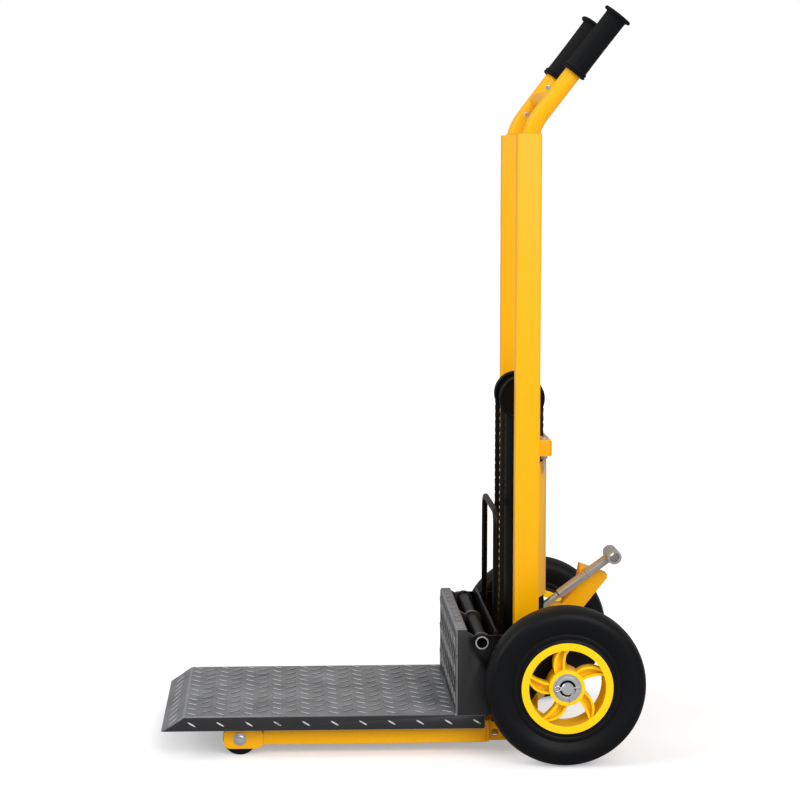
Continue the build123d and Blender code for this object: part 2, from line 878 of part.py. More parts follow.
# Chain anchor: a slotted bar between the columns that both chains end at
with BuildPart() as chain_anchor_bar:
    with BuildSketch(Plane.XY.offset(anchor_bottom)):
        with BuildLine():
            Polyline(
                (-column_inner, mast_y + anchor_tab_front),
                (-column_inner, mast_y + anchor_back),
                (column_inner, mast_y + anchor_back),
                (column_inner, mast_y + anchor_tab_front),
                (column_inner - anchor_tab, mast_y + anchor_tab_front),
                (column_inner - anchor_tab, mast_y + anchor_front),
                (anchor_tab - column_inner, mast_y + anchor_front),
                (anchor_tab - column_inner, mast_y + anchor_tab_front),
                close=True,
            )
        make_face()
        for side, side_name in sides:
            with Locations((side * pulley_x, chain_back_y)):
                Rectangle(chain_width + 2 * close_gap, 2 * (chain_bead + close_gap), mode=Mode.SUBTRACT)
            with Locations((side * anchor_bolt_x, anchor_bolt_y)):
                Circle(anchor_bolt_radius, mode=Mode.SUBTRACT)
    extrude(amount=anchor_top - anchor_bottom)
save(chain_anchor_bar, "chain_anchor_bar")

with BuildPart() as chain_anchor_bolts:
    for side, side_name in sides:
        bolt_place = (side * anchor_bolt_x, anchor_bolt_y)
        with BuildSketch(Plane.XY.offset(anchor_bottom - anchor_tail)):
            with Locations(bolt_place):
                Circle(anchor_bolt_radius)
        extrude(amount=anchor_top - anchor_bottom + anchor_tail)
        with BuildSketch(Plane.XY.offset(anchor_bottom - anchor_nut_height)):
            with Locations(bolt_place):
                RegularPolygon(anchor_nut_radius, 6)
        extrude(amount=anchor_nut_height)
        with BuildSketch(Plane.XY.offset(anchor_top)):
            with Locations(bolt_place):
                RegularPolygon(anchor_nut_radius, 6)
        extrude(amount=anchor_head_height)
save(chain_anchor_bolts, "chain_anchor_bolts")

# Foot pump on the back of the ram, with slots for the lever's and the pedal's eyes
pump_pivot_y = mast_y + pump_pivot_back
pump_middle_y = mast_y + (pump_front + pump_back) / 2
with BuildPart() as pump_body:
    with BuildSketch(Plane.XY.offset(window_bottom)):
        with Locations((0, pump_middle_y)):
            Rectangle(2 * pump_half_width, pump_back - pump_front)
        with Locations((0, mast_y)):
            Circle(barrel_radius, mode=Mode.SUBTRACT)
    extrude(amount=window_top - window_bottom)
    slot_height = window_top - window_bottom - pump_floor - pump_roof
    with BuildSketch(Plane.XY.offset(window_bottom + pump_floor)):
        for slot_low, slot_high in ((pedal_slot_low, pedal_slot_high), (lever_slot_low, lever_slot_high)):
            slot_depth = pump_back - pump_slot_front
            with Locations(((slot_low + slot_high) / 2, mast_y + pump_slot_front + slot_depth)):
                Rectangle(slot_high - slot_low, 2 * slot_depth)
    extrude(amount=slot_height, mode=Mode.SUBTRACT)
    with BuildSketch(side_plane(-pump_half_width)):
        with Locations((pump_pivot_y, pump_pivot_height)):
            Circle(pump_pin_radius)
    extrude(amount=2 * pump_half_width, mode=Mode.SUBTRACT)
save(pump_body, "pump_body")

with BuildPart() as pump_pivot_pin:
    with BuildSketch(side_plane(-pump_half_width - pump_pin_proud)):
        with Locations((pump_pivot_y, pump_pivot_height)):
            Circle(pump_pin_radius)
    extrude(amount=2 * (pump_half_width + pump_pin_proud))
save(pump_pivot_pin, "pump_pivot_pin")

# Pump lever: a stepped bar with an eye at the pump and a crosstube at its end
lever_pivot = Vector(lever_x, pump_pivot_y, pump_pivot_height)
lever_end = lever_pivot + Vector(0, lever_reach, lever_rise)
lever_length = (lever_end - lever_pivot).length
lever_plane = Plane(origin=lever_pivot, x_dir=(1, 0, 0), z_dir=lever_end - lever_pivot)
lever_neck = lever_length * lever_neck_share
tube_place = (pump_pivot_y + lever_reach, pump_pivot_height + lever_rise)
with BuildPart() as pump_lever:
    with BuildSketch(lever_plane):
        Circle(lever_root_radius)
    extrude(amount=lever_neck)
    with BuildSketch(lever_plane.offset(lever_neck)):
        Circle(lever_radius)
    extrude(amount=lever_length - lever_neck)
    with BuildSketch(lever_plane.offset(lever_length * lever_ring_share)):
        Circle(lever_ring_radius)
    extrude(amount=lever_ring_length)
    with BuildSketch(side_plane(lever_x)):
        with Locations((pump_pivot_y, pump_pivot_height)):
            Circle(lever_eye_radius)
    extrude(amount=lever_eye_width / 2, both=True)
    with BuildSketch(side_plane(lever_x)):
        with Locations((pump_pivot_y, pump_pivot_height)):
            Circle(pump_pin_radius + running_gap)
        with Locations(tube_place):
            Circle(lever_tube_radius)
    extrude(amount=lever_eye_width, both=True, mode=Mode.SUBTRACT)
save(pump_lever, "pump_lever")

with BuildPart() as lever_crosstube:
    with BuildSketch(side_plane(lever_x)):
        with Locations(tube_place):
            Circle(lever_tube_radius)
            Circle(lever_tube_bore, mode=Mode.SUBTRACT)
    extrude(amount=lever_tube_length / 2, both=True)
save(lever_crosstube, "lever_crosstube")

# Foot pedal: a folded sheet arm that dips, then turns up to a tread
with BuildPart() as foot_pedal:
    with BuildSketch(side_plane(pedal_low_x)):
        with BuildLine():
            Polyline(
                (pump_pivot_y, pump_pivot_height + pedal_eye_radius),
                (mast_y + pedal_heel_back, pedal_heel_top),
                (mast_y + pedal_bend_back, pedal_bend_height),
                (mast_y + pedal_toe_back, pedal_toe_height),
                (mast_y + pedal_lip_back, pedal_lip_height + pedal_lip),
                (mast_y + pedal_lip_back, pedal_lip_height),
                (mast_y + pedal_foot_back, pedal_foot_height),
                (mast_y + pedal_heel_back, pedal_heel_top - pedal_heel_depth),
                (pump_pivot_y, pump_pivot_height - pedal_eye_radius),
                close=True,
            )
        make_face()
        with Locations((pump_pivot_y, pump_pivot_height)):
            Circle(pedal_eye_radius)
    extrude(amount=pedal_high_x - pedal_low_x)
    with BuildSketch(side_plane(pedal_low_x + pedal_sheet)):
        with BuildLine():
            Polyline(
                (mast_y + pedal_heel_back - pedal_heel_depth, pedal_heel_top - pedal_sheet),
                (mast_y + pedal_heel_back + pedal_sheet, pedal_heel_top - pedal_sheet),
                (mast_y + pedal_bend_back + pedal_sheet, pedal_bend_height - pedal_sheet),
                (mast_y + pedal_toe_back + pedal_sheet, pedal_toe_height - 2 * pedal_sheet),
                (mast_y + pedal_lip_back + pedal_lip, pedal_lip_height - pedal_sheet),
                (mast_y + pedal_foot_back + pedal_heel_depth, pedal_foot_height - pedal_heel_depth),
                (mast_y + pedal_heel_back - pedal_heel_depth, pedal_foot_height - pedal_heel_depth),
                close=True,
            )
        make_face()
    extrude(amount=pedal_high_x - pedal_low_x - 2 * pedal_sheet, mode=Mode.SUBTRACT)
    with BuildSketch(side_plane(pedal_low_x)):
        with Locations((pump_pivot_y, pump_pivot_height)):
            Circle(pump_pin_radius + running_gap)
    extrude(amount=pedal_high_x - pedal_low_x, mode=Mode.SUBTRACT)
save(foot_pedal, "foot_pedal")

# Carriage side plates, with holes for the pivot tube and the roller axles
pivot_y = mast_y - pivot_forward
for side, side_name in sides:
    with BuildPart() as carriage_plate:
        with BuildSketch(side_plane(side * cheek_inner)):
            with BuildLine():
                Polyline(
                    (mast_y - cheek_nose, cheek_top),
                    (mast_y + cheek_back_top, cheek_top),
                    (mast_y - cheek_back_bottom, cheek_bottom),
                    (mast_y - cheek_front, cheek_bottom),
                    (mast_y - cheek_front, cheek_knee),
                    (mast_y - cheek_nose, cheek_shoulder),
                    close=True,
                )
            make_face()
        extrude(amount=side * cheek_plate)
        upright_edges = carriage_plate.edges().filter_by(Axis.X)
        fillet(upright_edges.group_by(Axis.Y)[-1], radius=cheek_back_fillet)
        fillet(
            carriage_plate.edges().filter_by(Axis.X).filter_by_position(
                Axis.Y,
                mast_y - cheek_back_bottom - overrun,
                mast_y - cheek_back_bottom + overrun,
            ),
            radius=cheek_foot_fillet,
        )
        fillet(
            carriage_plate.edges().filter_by(Axis.X).group_by(Axis.Z)[-1].group_by(Axis.Y)[0],
            radius=cheek_nose_fillet,
        )
        with BuildSketch(side_plane(side * cheek_inner)):
            with Locations((pivot_y, pivot_height)):
                Circle(pivot_radius)
            with Locations((upper_roller_y, upper_roller_height), (lower_roller_y, lower_roller_height)):
                Circle(guide_axle_radius)
        extrude(amount=side * cheek_plate, mode=Mode.SUBTRACT)
    save(carriage_plate, f"carriage_plate_{side_name}")

# Pivot tube, open at both ends
with BuildPart() as pivot_tube:
    with BuildSketch(side_plane(-cheek_outer - pivot_proud)):
        with Locations((pivot_y, pivot_height)):
            Circle(pivot_radius)
            Circle(pivot_bore, mode=Mode.SUBTRACT)
    extrude(amount=2 * (cheek_outer + pivot_proud))
save(pivot_tube, "pivot_tube")

# Upper cross bar of the carriage
with BuildPart() as carriage_crossbar:
    with BuildSketch(side_plane(-cheek_inner)):
        with BuildLine():
            Polyline(
                (mast_y - crossbar_front, crossbar_bottom),
                (mast_y - crossbar_front + crossbar_plate, crossbar_bottom),
                (mast_y - crossbar_front + crossbar_plate, crossbar_top),
                (mast_y - crossbar_front, crossbar_top),
                close=True,
            )
        make_face()
    extrude(amount=2 * cheek_inner)
save(carriage_crossbar, "carriage_crossbar")

# Guard loop: a bent bar welded to the back of the cross bar
guard_y = mast_y - crossbar_front + crossbar_plate + guard_radius
with BuildPart() as guard_loop:
    with BuildLine():
        FilletPolyline(
            (-guard_half_width, guard_y, guard_bottom),
            (-guard_half_width, guard_y, guard_top - guard_radius),
            (guard_half_width, guard_y, guard_top - guard_radius),
            (guard_half_width, guard_y, guard_bottom),
            radius=guard_corner,
        )
    with BuildSketch(Plane(origin=(-guard_half_width, guard_y, guard_bottom), z_dir=(0, 0, 1))):
        Circle(guard_radius)
    sweep()
save(guard_loop, "guard_loop")

# Lower cross member, with a forked lug for each chain's end pin
member_y = mast_y - member_front
lug_inner = chain_width / 2 + running_gap
with BuildPart() as carriage_member:
    with BuildSketch(side_plane(-cheek_inner)):
        with BuildLine():
            Polyline(
                (member_y, member_bottom),
                (member_y + member_plate, member_bottom),
                (member_y + member_plate, member_top),
                (member_y, member_top),
                close=True,
            )
        make_face()
    extrude(amount=2 * cheek_inner)
    lug_back_y = chain_front_y + chain_bead
    lug_middle = chain_pin_height - lug_pin_radius - close_gap
    for side, side_name in sides:
        for lug_low in (pulley_x - lug_inner - lug_plate, pulley_x + lug_inner):
            with BuildSketch(side_plane(side * lug_low)):
                with BuildLine():
                    Polyline(
                        (member_y + member_plate, lug_middle - lug_height / 2),
                        (lug_back_y, lug_middle - lug_height / 2),
                        (lug_back_y, lug_middle + lug_height / 2),
                        (member_y + member_plate, lug_middle + lug_height / 2),
                        close=True,
                    )
                make_face()
            extrude(amount=side * lug_plate)
        with BuildSketch(side_plane(side * (pulley_x - lug_inner - lug_plate))):
            with Locations((chain_front_y, lug_middle)):
                Circle(lug_pin_radius)
        extrude(amount=side * 2 * (lug_inner + lug_plate))
save(carriage_member, "carriage_member")

# Roller axles: stubs above, behind the columns, and one bar below, in front of them
guide_inner_x = column_x - guide_width / 2
guide_outer_x = column_x + guide_width / 2
with BuildPart() as roller_axles:
    for side, side_name in sides:
        for place, start_x in (
            ((upper_roller_y, upper_roller_height), guide_inner_x - part_gap),
            ((lower_roller_y, lower_roller_height), 0),
        ):
            with BuildSketch(side_plane(side * start_x)):
                with Locations(place):
                    Circle(guide_axle_radius)
            extrude(amount=side * (cheek_outer - start_x))
            with BuildSketch(side_plane(side * (guide_outer_x + part_gap))):
                with Locations(place):
                    Circle(spacer_tube_radius)
            extrude(amount=side * (cheek_inner - guide_outer_x - part_gap))
            with BuildSketch(side_plane(side * (guide_inner_x - part_gap))):
                with Locations(place):
                    Circle(spacer_tube_radius)
            extrude(amount=-side * stub_collar)
save(roller_axles, "roller_axles")

with BuildPart() as carriage_bolts:
    for side, side_name in sides:
        for place in ((upper_roller_y, upper_roller_height), (lower_roller_y, lower_roller_height)):
            with BuildSketch(side_plane(side * cheek_outer)):
                with Locations(place):
                    Circle(carriage_washer_radius)
            extrude(amount=side * carriage_washer)
            with BuildSketch(side_plane(side * (cheek_outer + carriage_washer))):
                with Locations(place):
                    Circle(button_radius)
            extrude(amount=side * button_height)
            button_face = cheek_outer + carriage_washer + button_height
            with BuildSketch(side_plane(side * button_face)):
                with Locations(place):
                    RegularPolygon(button_socket_radius, 6)
            extrude(amount=-side * button_socket_depth, mode=Mode.SUBTRACT)
save(carriage_bolts, "carriage_bolts")

# Guide rollers, one pair above and one below
for roller_name, place in (
    ("upper_rollers", (upper_roller_y, upper_roller_height)),
    ("lower_rollers", (lower_roller_y, lower_roller_height)),
):
    with BuildPart() as guide_rollers:
        for side, side_name in sides:
            with BuildSketch(side_plane(side * column_x)):
                with Locations(place):
                    Circle(guide_radius)
            extrude(amount=guide_width / 2, both=True)
        chamfer(guide_rollers.edges().filter_by(GeomType.CIRCLE), length=guide_edge)
        with BuildSketch(side_plane(-column_outer - guide_width)):
            with Locations(place):
                Circle(guide_axle_radius + running_gap)
        extrude(amount=2 * (column_outer + guide_width), mode=Mode.SUBTRACT)
    save(guide_rollers, roller_name)

# Platform deck: one folded sheet with a bevelled nose and skirts down both sides, which
# run on under the folds of the back
tip_y = mast_y - tip_reach
bevel_y = mast_y - deck_bevel
back_y = mast_y - back_front
deck_back_y = mast_y - deck_back
back_bottom = deck_top - deck_sheet
bevel_slope = (deck_top - deck_bottom) / (tip_reach - deck_bevel)
bevel_run = deck_sheet * (1 + bevel_slope ** 2) ** 0.5 / bevel_slope
nose_inset = bevel_run - deck_sheet / bevel_slope
with BuildPart() as deck:
    with BuildSketch(side_plane(-deck_half_width)):
        with BuildLine():
            Polyline(
                (tip_y, deck_bottom),
                (bevel_y, deck_top),
                (back_y, deck_top),
                (back_y, back_bottom),
                (deck_back_y, back_bottom),
                (deck_back_y, deck_bottom),
                close=True,
            )
        make_face()
    extrude(amount=2 * deck_half_width)
    with BuildSketch(side_plane(deck_sheet - deck_half_width)):
        with BuildLine():
            Polyline(
                (tip_y + bevel_run, deck_bottom),
                (bevel_y + nose_inset, back_bottom),
                (deck_back_y, back_bottom),
                (deck_back_y, deck_bottom),
                close=True,
            )
        make_face()
    extrude(amount=2 * (deck_half_width - deck_sheet), mode=Mode.SUBTRACT)
save(deck, "deck")

# Platform back: an upright sheet at the deck's end, folded at its top and both sides,
# with a middle rib
back_inner_y = back_y + deck_sheet
flange_y = mast_y - flange_back
with BuildPart() as platform_back:
    with BuildSketch(Plane.XZ.offset(-back_y)):
        with Locations((0, (back_bottom + back_top) / 2)):
            Rectangle(2 * deck_half_width, back_top - back_bottom)
    extrude(amount=-deck_sheet)
    with BuildSketch(side_plane(-deck_half_width)):
        with BuildLine():
            Polyline(
                (back_inner_y, back_top - deck_sheet),
                (back_y + back_flange, back_top - deck_sheet),
                (back_y + back_flange, back_top),
                (back_inner_y, back_top),
                close=True,
            )
        make_face()
    extrude(amount=2 * deck_half_width)
    for rib_low, rib_thick in (
        (-deck_half_width, deck_sheet),
        (-rib_half, 2 * rib_half),
        (deck_half_width - deck_sheet, deck_sheet),
    ):
        with BuildSketch(side_plane(rib_low)):
            with BuildLine():
                Polyline(
                    (flange_y, pivot_height),
                    (flange_y, back_bottom),
                    (back_inner_y, back_bottom),
                    (back_inner_y, back_top - deck_sheet),
                    (back_y + back_flange, back_top - deck_sheet),
                )
                ThreePointArc(
                    (back_y + back_flange, back_top - deck_sheet),
                    ((back_y + back_flange + flange_y) / 2, pivot_height + rib_notch_rise),
                    (flange_y, pivot_height),
                )
            make_face()
            with Locations((pivot_y, pivot_height)):
                Circle(pivot_radius + rib_eye_wall)
                Circle(pivot_radius + running_gap, mode=Mode.SUBTRACT)
        extrude(amount=rib_thick)
save(platform_back, "platform_back")
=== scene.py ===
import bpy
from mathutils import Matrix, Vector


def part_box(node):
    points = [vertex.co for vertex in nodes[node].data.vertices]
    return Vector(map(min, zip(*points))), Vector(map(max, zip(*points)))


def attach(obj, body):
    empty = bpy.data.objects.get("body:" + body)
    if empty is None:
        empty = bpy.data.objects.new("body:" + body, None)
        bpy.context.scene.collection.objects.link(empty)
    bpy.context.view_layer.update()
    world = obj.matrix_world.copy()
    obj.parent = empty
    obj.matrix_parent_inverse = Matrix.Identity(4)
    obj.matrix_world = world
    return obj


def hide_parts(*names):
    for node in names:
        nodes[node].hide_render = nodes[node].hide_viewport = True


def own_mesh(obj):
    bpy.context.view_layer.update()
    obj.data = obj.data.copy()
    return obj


bl_info = {
    "name": "Platform Stacker",
    "version": (1, 0, 0),
    "blender": (4, 5, 0),
    "location": "View3D > Sidebar > Stacker",
    "description": "Finishes a hand-pushed platform stacker on its packed frame",
    "category": "Object",
}

from math import atan2, cos, pi, radians, sin, tan

import bmesh
import bpy
from bpy.props import FloatProperty, FloatVectorProperty, IntProperty, PointerProperty
from mathutils import Matrix, Vector

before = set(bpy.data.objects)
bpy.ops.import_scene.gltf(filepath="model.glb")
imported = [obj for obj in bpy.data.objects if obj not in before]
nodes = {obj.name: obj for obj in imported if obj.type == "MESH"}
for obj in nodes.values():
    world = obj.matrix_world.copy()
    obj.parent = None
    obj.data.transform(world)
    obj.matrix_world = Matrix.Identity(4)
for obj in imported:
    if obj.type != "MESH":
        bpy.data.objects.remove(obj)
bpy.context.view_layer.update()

SIDES = {"left": 1, "right": -1}
OUTWARD = {1: Vector((1, 0, 0)), -1: Vector((-1, 0, 0))}
UP = Vector((0, 0, 1))
BACKWARD = Vector((0, 1, 0))
MERGE = 1e-5
CHAIN_X = 0.045
finishes = {}


def srgb(red, green, blue):
    """A colour written as it looks on screen, from 0 to 255, turned to scene values."""
    shares = [channel / 255 for channel in (red, green, blue)]
    return tuple(share / 12.92 if share <= 0.04045 else ((share + 0.055) / 1.055) ** 2.4 for share in shares)


def middle(node):
    low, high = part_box(node)
    return (low + high) / 2


def at_x(place, x):
    """A place moved to another X."""
    return Vector((x, place.y, place.z))


def length(name, description, default):
    return FloatProperty(name=name, description=description, default=default, precision=5, unit="LENGTH")


def colour(name, description, default):
    return FloatVectorProperty(name=name, description=description, default=srgb(*default), subtype="COLOR", size=3)


def strength(name, description, default):
    return FloatProperty(name=name, description=description, default=default, min=0)


def turn(name, description, default):
    return FloatProperty(name=name, description=description, default=radians(default), subtype="ANGLE")


class StackerColours(bpy.types.PropertyGroup):
    """Colours of the finishes."""

    yellow: colour("Yellow paint", "Powder coat of the mast, base and pedal", (255, 180, 0))
    rim: colour("Rim yellow", "Moulded wheel rims", (255, 206, 4))
    black: colour("Black paint", "Carriage, guard loop and ram", (8, 8, 9))
    tread: colour("Tread paint", "Platform plate", (42, 42, 44))
    tyre: colour("Tyre rubber", "Solid tyres", (14, 15, 17))
    grip: colour("Grip rubber", "Handle grips", (17, 18, 20))
    zinc: colour("Zinc plate", "Bolts, washers and axle", (206, 209, 214))
    steel: colour("Bare steel", "Pump lever and the pivot tube's ends", (206, 204, 201))
    chrome: colour("Chromed rod", "Ram rod", (205, 207, 210))
    chain: colour("Oiled steel", "Chains", (44, 42, 42))
    casting: colour("Pump casting", "Foot pump body", (10, 10, 11))
    nylon: colour("Black nylon", "Front rollers", (16, 16, 17))


class StackerSizes(bpy.types.PropertyGroup):
    """Sizes of the details that the frame doesn't hold."""

    edge: length("Edge radius", "Rounding of cut sheet and tube edges", 0.0007)
    small_edge: length("Small edge radius", "Rounding of bolts and turned parts", 0.00035)
    lozenge_length: length("Lozenge length", "Raised bar of the tread plate", 0.026)
    lozenge_width: length("Lozenge width", "Raised bar of the tread plate", 0.0056)
    lozenge_height: length("Lozenge height", "Raised bar of the tread plate", 0.0012)
    tread_along: length("Tread pitch along", "Between like bars, front to back", 0.0465)
    tread_across: length("Tread pitch across", "Between like bars, side to side", 0.0345)
    link_pitch: length("Chain pitch", "From pin to pin", 0.0127)
    link_end: length("Link end radius", "Rounded ends of the link plates", 0.0053)
    link_waist: length("Link waist", "Half the height of a link plate at its middle", 0.0035)
    link_plate: length("Link plate", "Thickness of a link plate", 0.0013)
    link_half: length("Chain half width", "From the chain's middle to its pin ends", 0.0045)
    weld: length("Weld radius", "Weld beads between plates and tubes", 0.0024)
    ripple: length("Weld ripple", "Spacing of the ripples in a weld", 0.0016)
    pulley_radius: length("Pulley pitch radius", "From the pulley's middle to the chain's pins", 0.0323407)
    turns: IntProperty(name="Turning steps", description="Facets round a turned part", default=96, min=12)
    fold: length("Fold radius", "Outside of the folds in the tread plate", 0.0036)
    handle_lean: turn("Handle lean", "How far the handles lean back from upright", 37.5)
    handle_splay: length("Handle splay", "How far each handle moves outwards over its rise", 0.014)
    handle_bend: length("Handle bend height", "Where the straight runs of a handle would meet", 1.022)
    handle_end: length("Handle end height", "Top of the bare handle tube", 1.203)
    handle_foot: length("Handle foot height", "Bottom of the handle tube inside the column", 0.955)
    handle_radius: length("Handle radius", "Outside of the handle tube", 0.014)
    handle_bore: length("Handle bore", "Inside of the handle tube", 0.0115)
    handle_turn: length("Handle bend radius", "Along the middle of the tube", 0.09)
    grip_length: length("Grip length", "Whole rubber grip", 0.118)
    grip_end: length("Grip end", "Rubber over the end of the tube", 0.004)
    crosstube_bore: length("Crosstube bore", "Inside of the tube at the lever's end", 0.008)


class StackerStage(bpy.types.PropertyGroup):
    """Camera and light."""

    camera_place: FloatVectorProperty(
        name="Camera place",
        description="Where the camera stands",
        default=(3.864, -0.196, 0.969),
        subtype="XYZ",
        unit="LENGTH",
        size=3,
    )
    yaw: turn("Yaw", "Turn of the camera towards the back of the machine", 2.992)
    pitch: turn("Pitch", "Downward tilt of the camera", 5.901)
    roll: turn("Roll", "Turn of the camera about its view", 0.092)
    lens: FloatProperty(name="Lens", description="Focal length for a 36 mm sensor", default=103.59, unit="CAMERA")
    sky: strength("Sky strength", "Even light from all round", 0.58)
    reflection: strength("Reflected sky", "Sky seen in glossy faces", 0.34)
    key: strength("Key strength", "Soft lamp beside the camera", 1.5)
    fill: strength("Fill strength", "Soft lamp from the front of the machine", 1.05)
    floor_reflection: strength("Reflected floor", "Share of the floor's brightness seen in glossy faces", 0.5)
    floor_glow: strength("Floor glow", "Light added to the floor seen by the camera", 0.36)
    lamp_spread: turn("Lamp spread", "How wide the lamps look, which softens shadows", 38)
    floor_half: length("Floor half width", "From the middle of the floor to its edge", 30.0)


def add_node(tree, kind, inputs=None, **settings):
    """A node with its settings, and its inputs given as values or as sockets to link."""
    made = tree.nodes.new(kind)
    for key, value in settings.items():
        setattr(made, key, value)
    for key, value in (inputs or {}).items():
        if isinstance(value, bpy.types.NodeSocket):
            tree.links.new(value, made.inputs[key])
        else:
            made.inputs[key].default_value = value
    return made


def calc(tree, operation, *values):
    """The result of a maths node."""
    return add_node(tree, "ShaderNodeMath", dict(enumerate(values)), operation=operation).outputs[0]


def remap(tree, value, start, stop, low=0.0, high=1.0):
    """A value moved from the range start to stop into the range low to high."""
    spans = {"Value": value, "From Min": start, "From Max": stop, "To Min": low, "To Max": high}
    return add_node(tree, "ShaderNodeMapRange", spans).outputs[0]


def noise(tree, place, scale, detail, roughness=0.5):
    inputs = {"Vector": place, "Scale": scale, "Detail": detail, "Roughness": roughness}
    return add_node(tree, "ShaderNodeTexNoise", inputs).outputs["Fac"]


def mixed(tree, factor, first, second):
    """Two colours mixed by a factor."""
    inputs = {"Factor": factor, "A": first, "B": second}
    return add_node(tree, "ShaderNodeMix", inputs, data_type="RGBA").outputs["Result"]


def once(name):
    """For a function that makes a node group: it is made once in a file, and then found by its name."""
    return lambda make: lambda: bpy.data.node_groups.get(name) or make(name)


def label(key):
    return key.replace("_", " ").capitalize()


def shader_group(name, outputs, **inputs):
    """An empty node group with float sockets, the sockets that it is given and those that it fills."""
    group = bpy.data.node_groups.new(name, "ShaderNodeTree")
    for key, default in inputs.items():
        socket = group.interface.new_socket(label(key), in_out="INPUT", socket_type="NodeSocketFloat")
        socket.default_value = default
    for key in outputs:
        group.interface.new_socket(key, in_out="OUTPUT", socket_type="NodeSocketFloat")
    return group, group.nodes.new("NodeGroupInput").outputs, group.nodes.new("NodeGroupOutput").inputs


@once("Grain")
def grain_group(name):
    """Fine surface grain for bump, and slow mottling for colour and gloss."""
    group, given, out = shader_group(name, ("Fine", "Slow"), fine_scale=900.0, slow_scale=9.0, stretch=1.0)
    place = add_node(group, "ShaderNodeTexCoord").outputs["Object"]
    stretch = add_node(group, "ShaderNodeCombineXYZ", {"X": given["Stretch"], "Y": 1.0, "Z": 1.0})
    mapped = add_node(group, "ShaderNodeVectorMath", {0: place, 1: stretch.outputs[0]}, operation="MULTIPLY")
    group.links.new(noise(group, mapped.outputs[0], given["Fine scale"], 3.0, 0.55), out["Fine"])
    group.links.new(noise(group, place, given["Slow scale"], 5.0, 0.6), out["Slow"])
    return group


@once("Edge wear")
def wear_and_highlight_group(name):
    """The mesh's edge marks, broken up by noise: edges where the finish is rubbed off, and edges where a paler tone
    paints a highlight, as on the tread bars' crests.
    """
    group, given, out = shader_group(name, ("Mask",), amount=0.5, scale=90.0, bare_from=0.5)
    place = add_node(group, "ShaderNodeTexCoord").outputs["Object"]
    edge = add_node(group, "ShaderNodeAttribute", attribute_name="edge").outputs["Fac"]
    edge_breakup = noise(group, place, given["Scale"], 6.0, 0.7)
    sharp = remap(group, edge_breakup, given["Bare from"], calc(group, "ADD", given["Bare from"], 0.18))
    worn_and_highlit = calc(group, "MULTIPLY", edge, sharp)
    group.links.new(calc(group, "MULTIPLY", worn_and_highlit, given["Amount"]), out["Mask"])
    return group


@once("Dust")
def dust_and_sheen_group(name):
    """Pale patches on the faces that look up at rest: dusty on most finishes, and on the tread plate mostly a painted
    reflection of the pale surroundings.
    """
    group, given, out = shader_group(name, ("Mask",), amount=0.3, scale=14.0)
    place = add_node(group, "ShaderNodeTexCoord")
    facing = add_node(group, "ShaderNodeSeparateXYZ", {0: place.outputs["Normal"]})
    upward = remap(group, facing.outputs["Z"], 0.2, 1.0)
    patches = noise(group, place.outputs["Object"], given["Scale"], 7.0, 0.65)
    lying = calc(group, "MULTIPLY", upward, patches)
    group.links.new(calc(group, "MULTIPLY", lying, given["Amount"]), out["Mask"])
    return group


def use_group(tree, group, **values):
    made = add_node(tree, "ShaderNodeGroup", {label(key): value for key, value in values.items()}, node_tree=group)
    return made.outputs


def finish(
    slot,
    base,
    roughness,
    metallic=0.0,
    coat=0.0,
    fine_scale=900.0,
    slow_scale=9.0,
    stretch=1.0,
    bump=0.1,
    bump_depth=0.0002,
    mottle=0.12,
    gloss_change=0.12,
    worn_and_highlit=None,
    wear_and_highlight=0.5,
    wear_and_highlight_scale=90.0,
    bare_from=0.5,
    dust_and_sheen=0.2,
    dust_and_sheen_tone=srgb(168, 164, 156),
    specular=0.5,
):
    """A procedural finish: mottled colour, grain in the bump, rubbed edges that in part carry a painted highlight, and
    pale dusty patches on upward faces, which on the tread plate are mostly a painted reflection.
    """
    material = bpy.data.materials.new(f"{slot}_finish")
    finishes[slot] = material
    material.use_nodes = True
    tree = material.node_tree
    shader = tree.nodes["Principled BSDF"]
    grain = use_group(tree, grain_group(), fine_scale=fine_scale, slow_scale=slow_scale, stretch=stretch)
    darker = tuple(channel * (1 - mottle) for channel in base) + (1,)
    lighter = tuple(min(channel * (1 + mottle), 1) for channel in base) + (1,)
    shade = mixed(tree, grain["Slow"], darker, lighter)
    # Edge tone on the marked edges: rubbed finish, and in part a painted highlight, as on the tread bars' crests.
    if worn_and_highlit is not None:
        mask = use_group(tree, wear_and_highlight_group(), amount=wear_and_highlight, scale=wear_and_highlight_scale, bare_from=bare_from)["Mask"]
        shade = mixed(tree, mask, shade, worn_and_highlit + (1,))
    # Pale patches on upward faces: dusty on most finishes, and on the tread plate mostly a painted reflection of the
    # pale surroundings.
    if dust_and_sheen > 0:
        shade = mixed(tree, use_group(tree, dust_and_sheen_group(), amount=dust_and_sheen)["Mask"], shade, dust_and_sheen_tone + (1,))
    rough = remap(tree, grain["Slow"], 0.0, 1.0, roughness - gloss_change, roughness + gloss_change)
    height = add_node(tree, "ShaderNodeBump", {"Strength": bump, "Distance": bump_depth, "Height": grain["Fine"]})
    for key, socket in (("Base Color", shade), ("Roughness", rough), ("Normal", height.outputs[0])):
        tree.links.new(socket, shader.inputs[key])
    for key, value in (
        ("Metallic", metallic),
        ("Specular IOR Level", specular),
        ("Coat Weight", coat),
        ("Coat Roughness", 0.12),
    ):
        shader.inputs[key].default_value = value


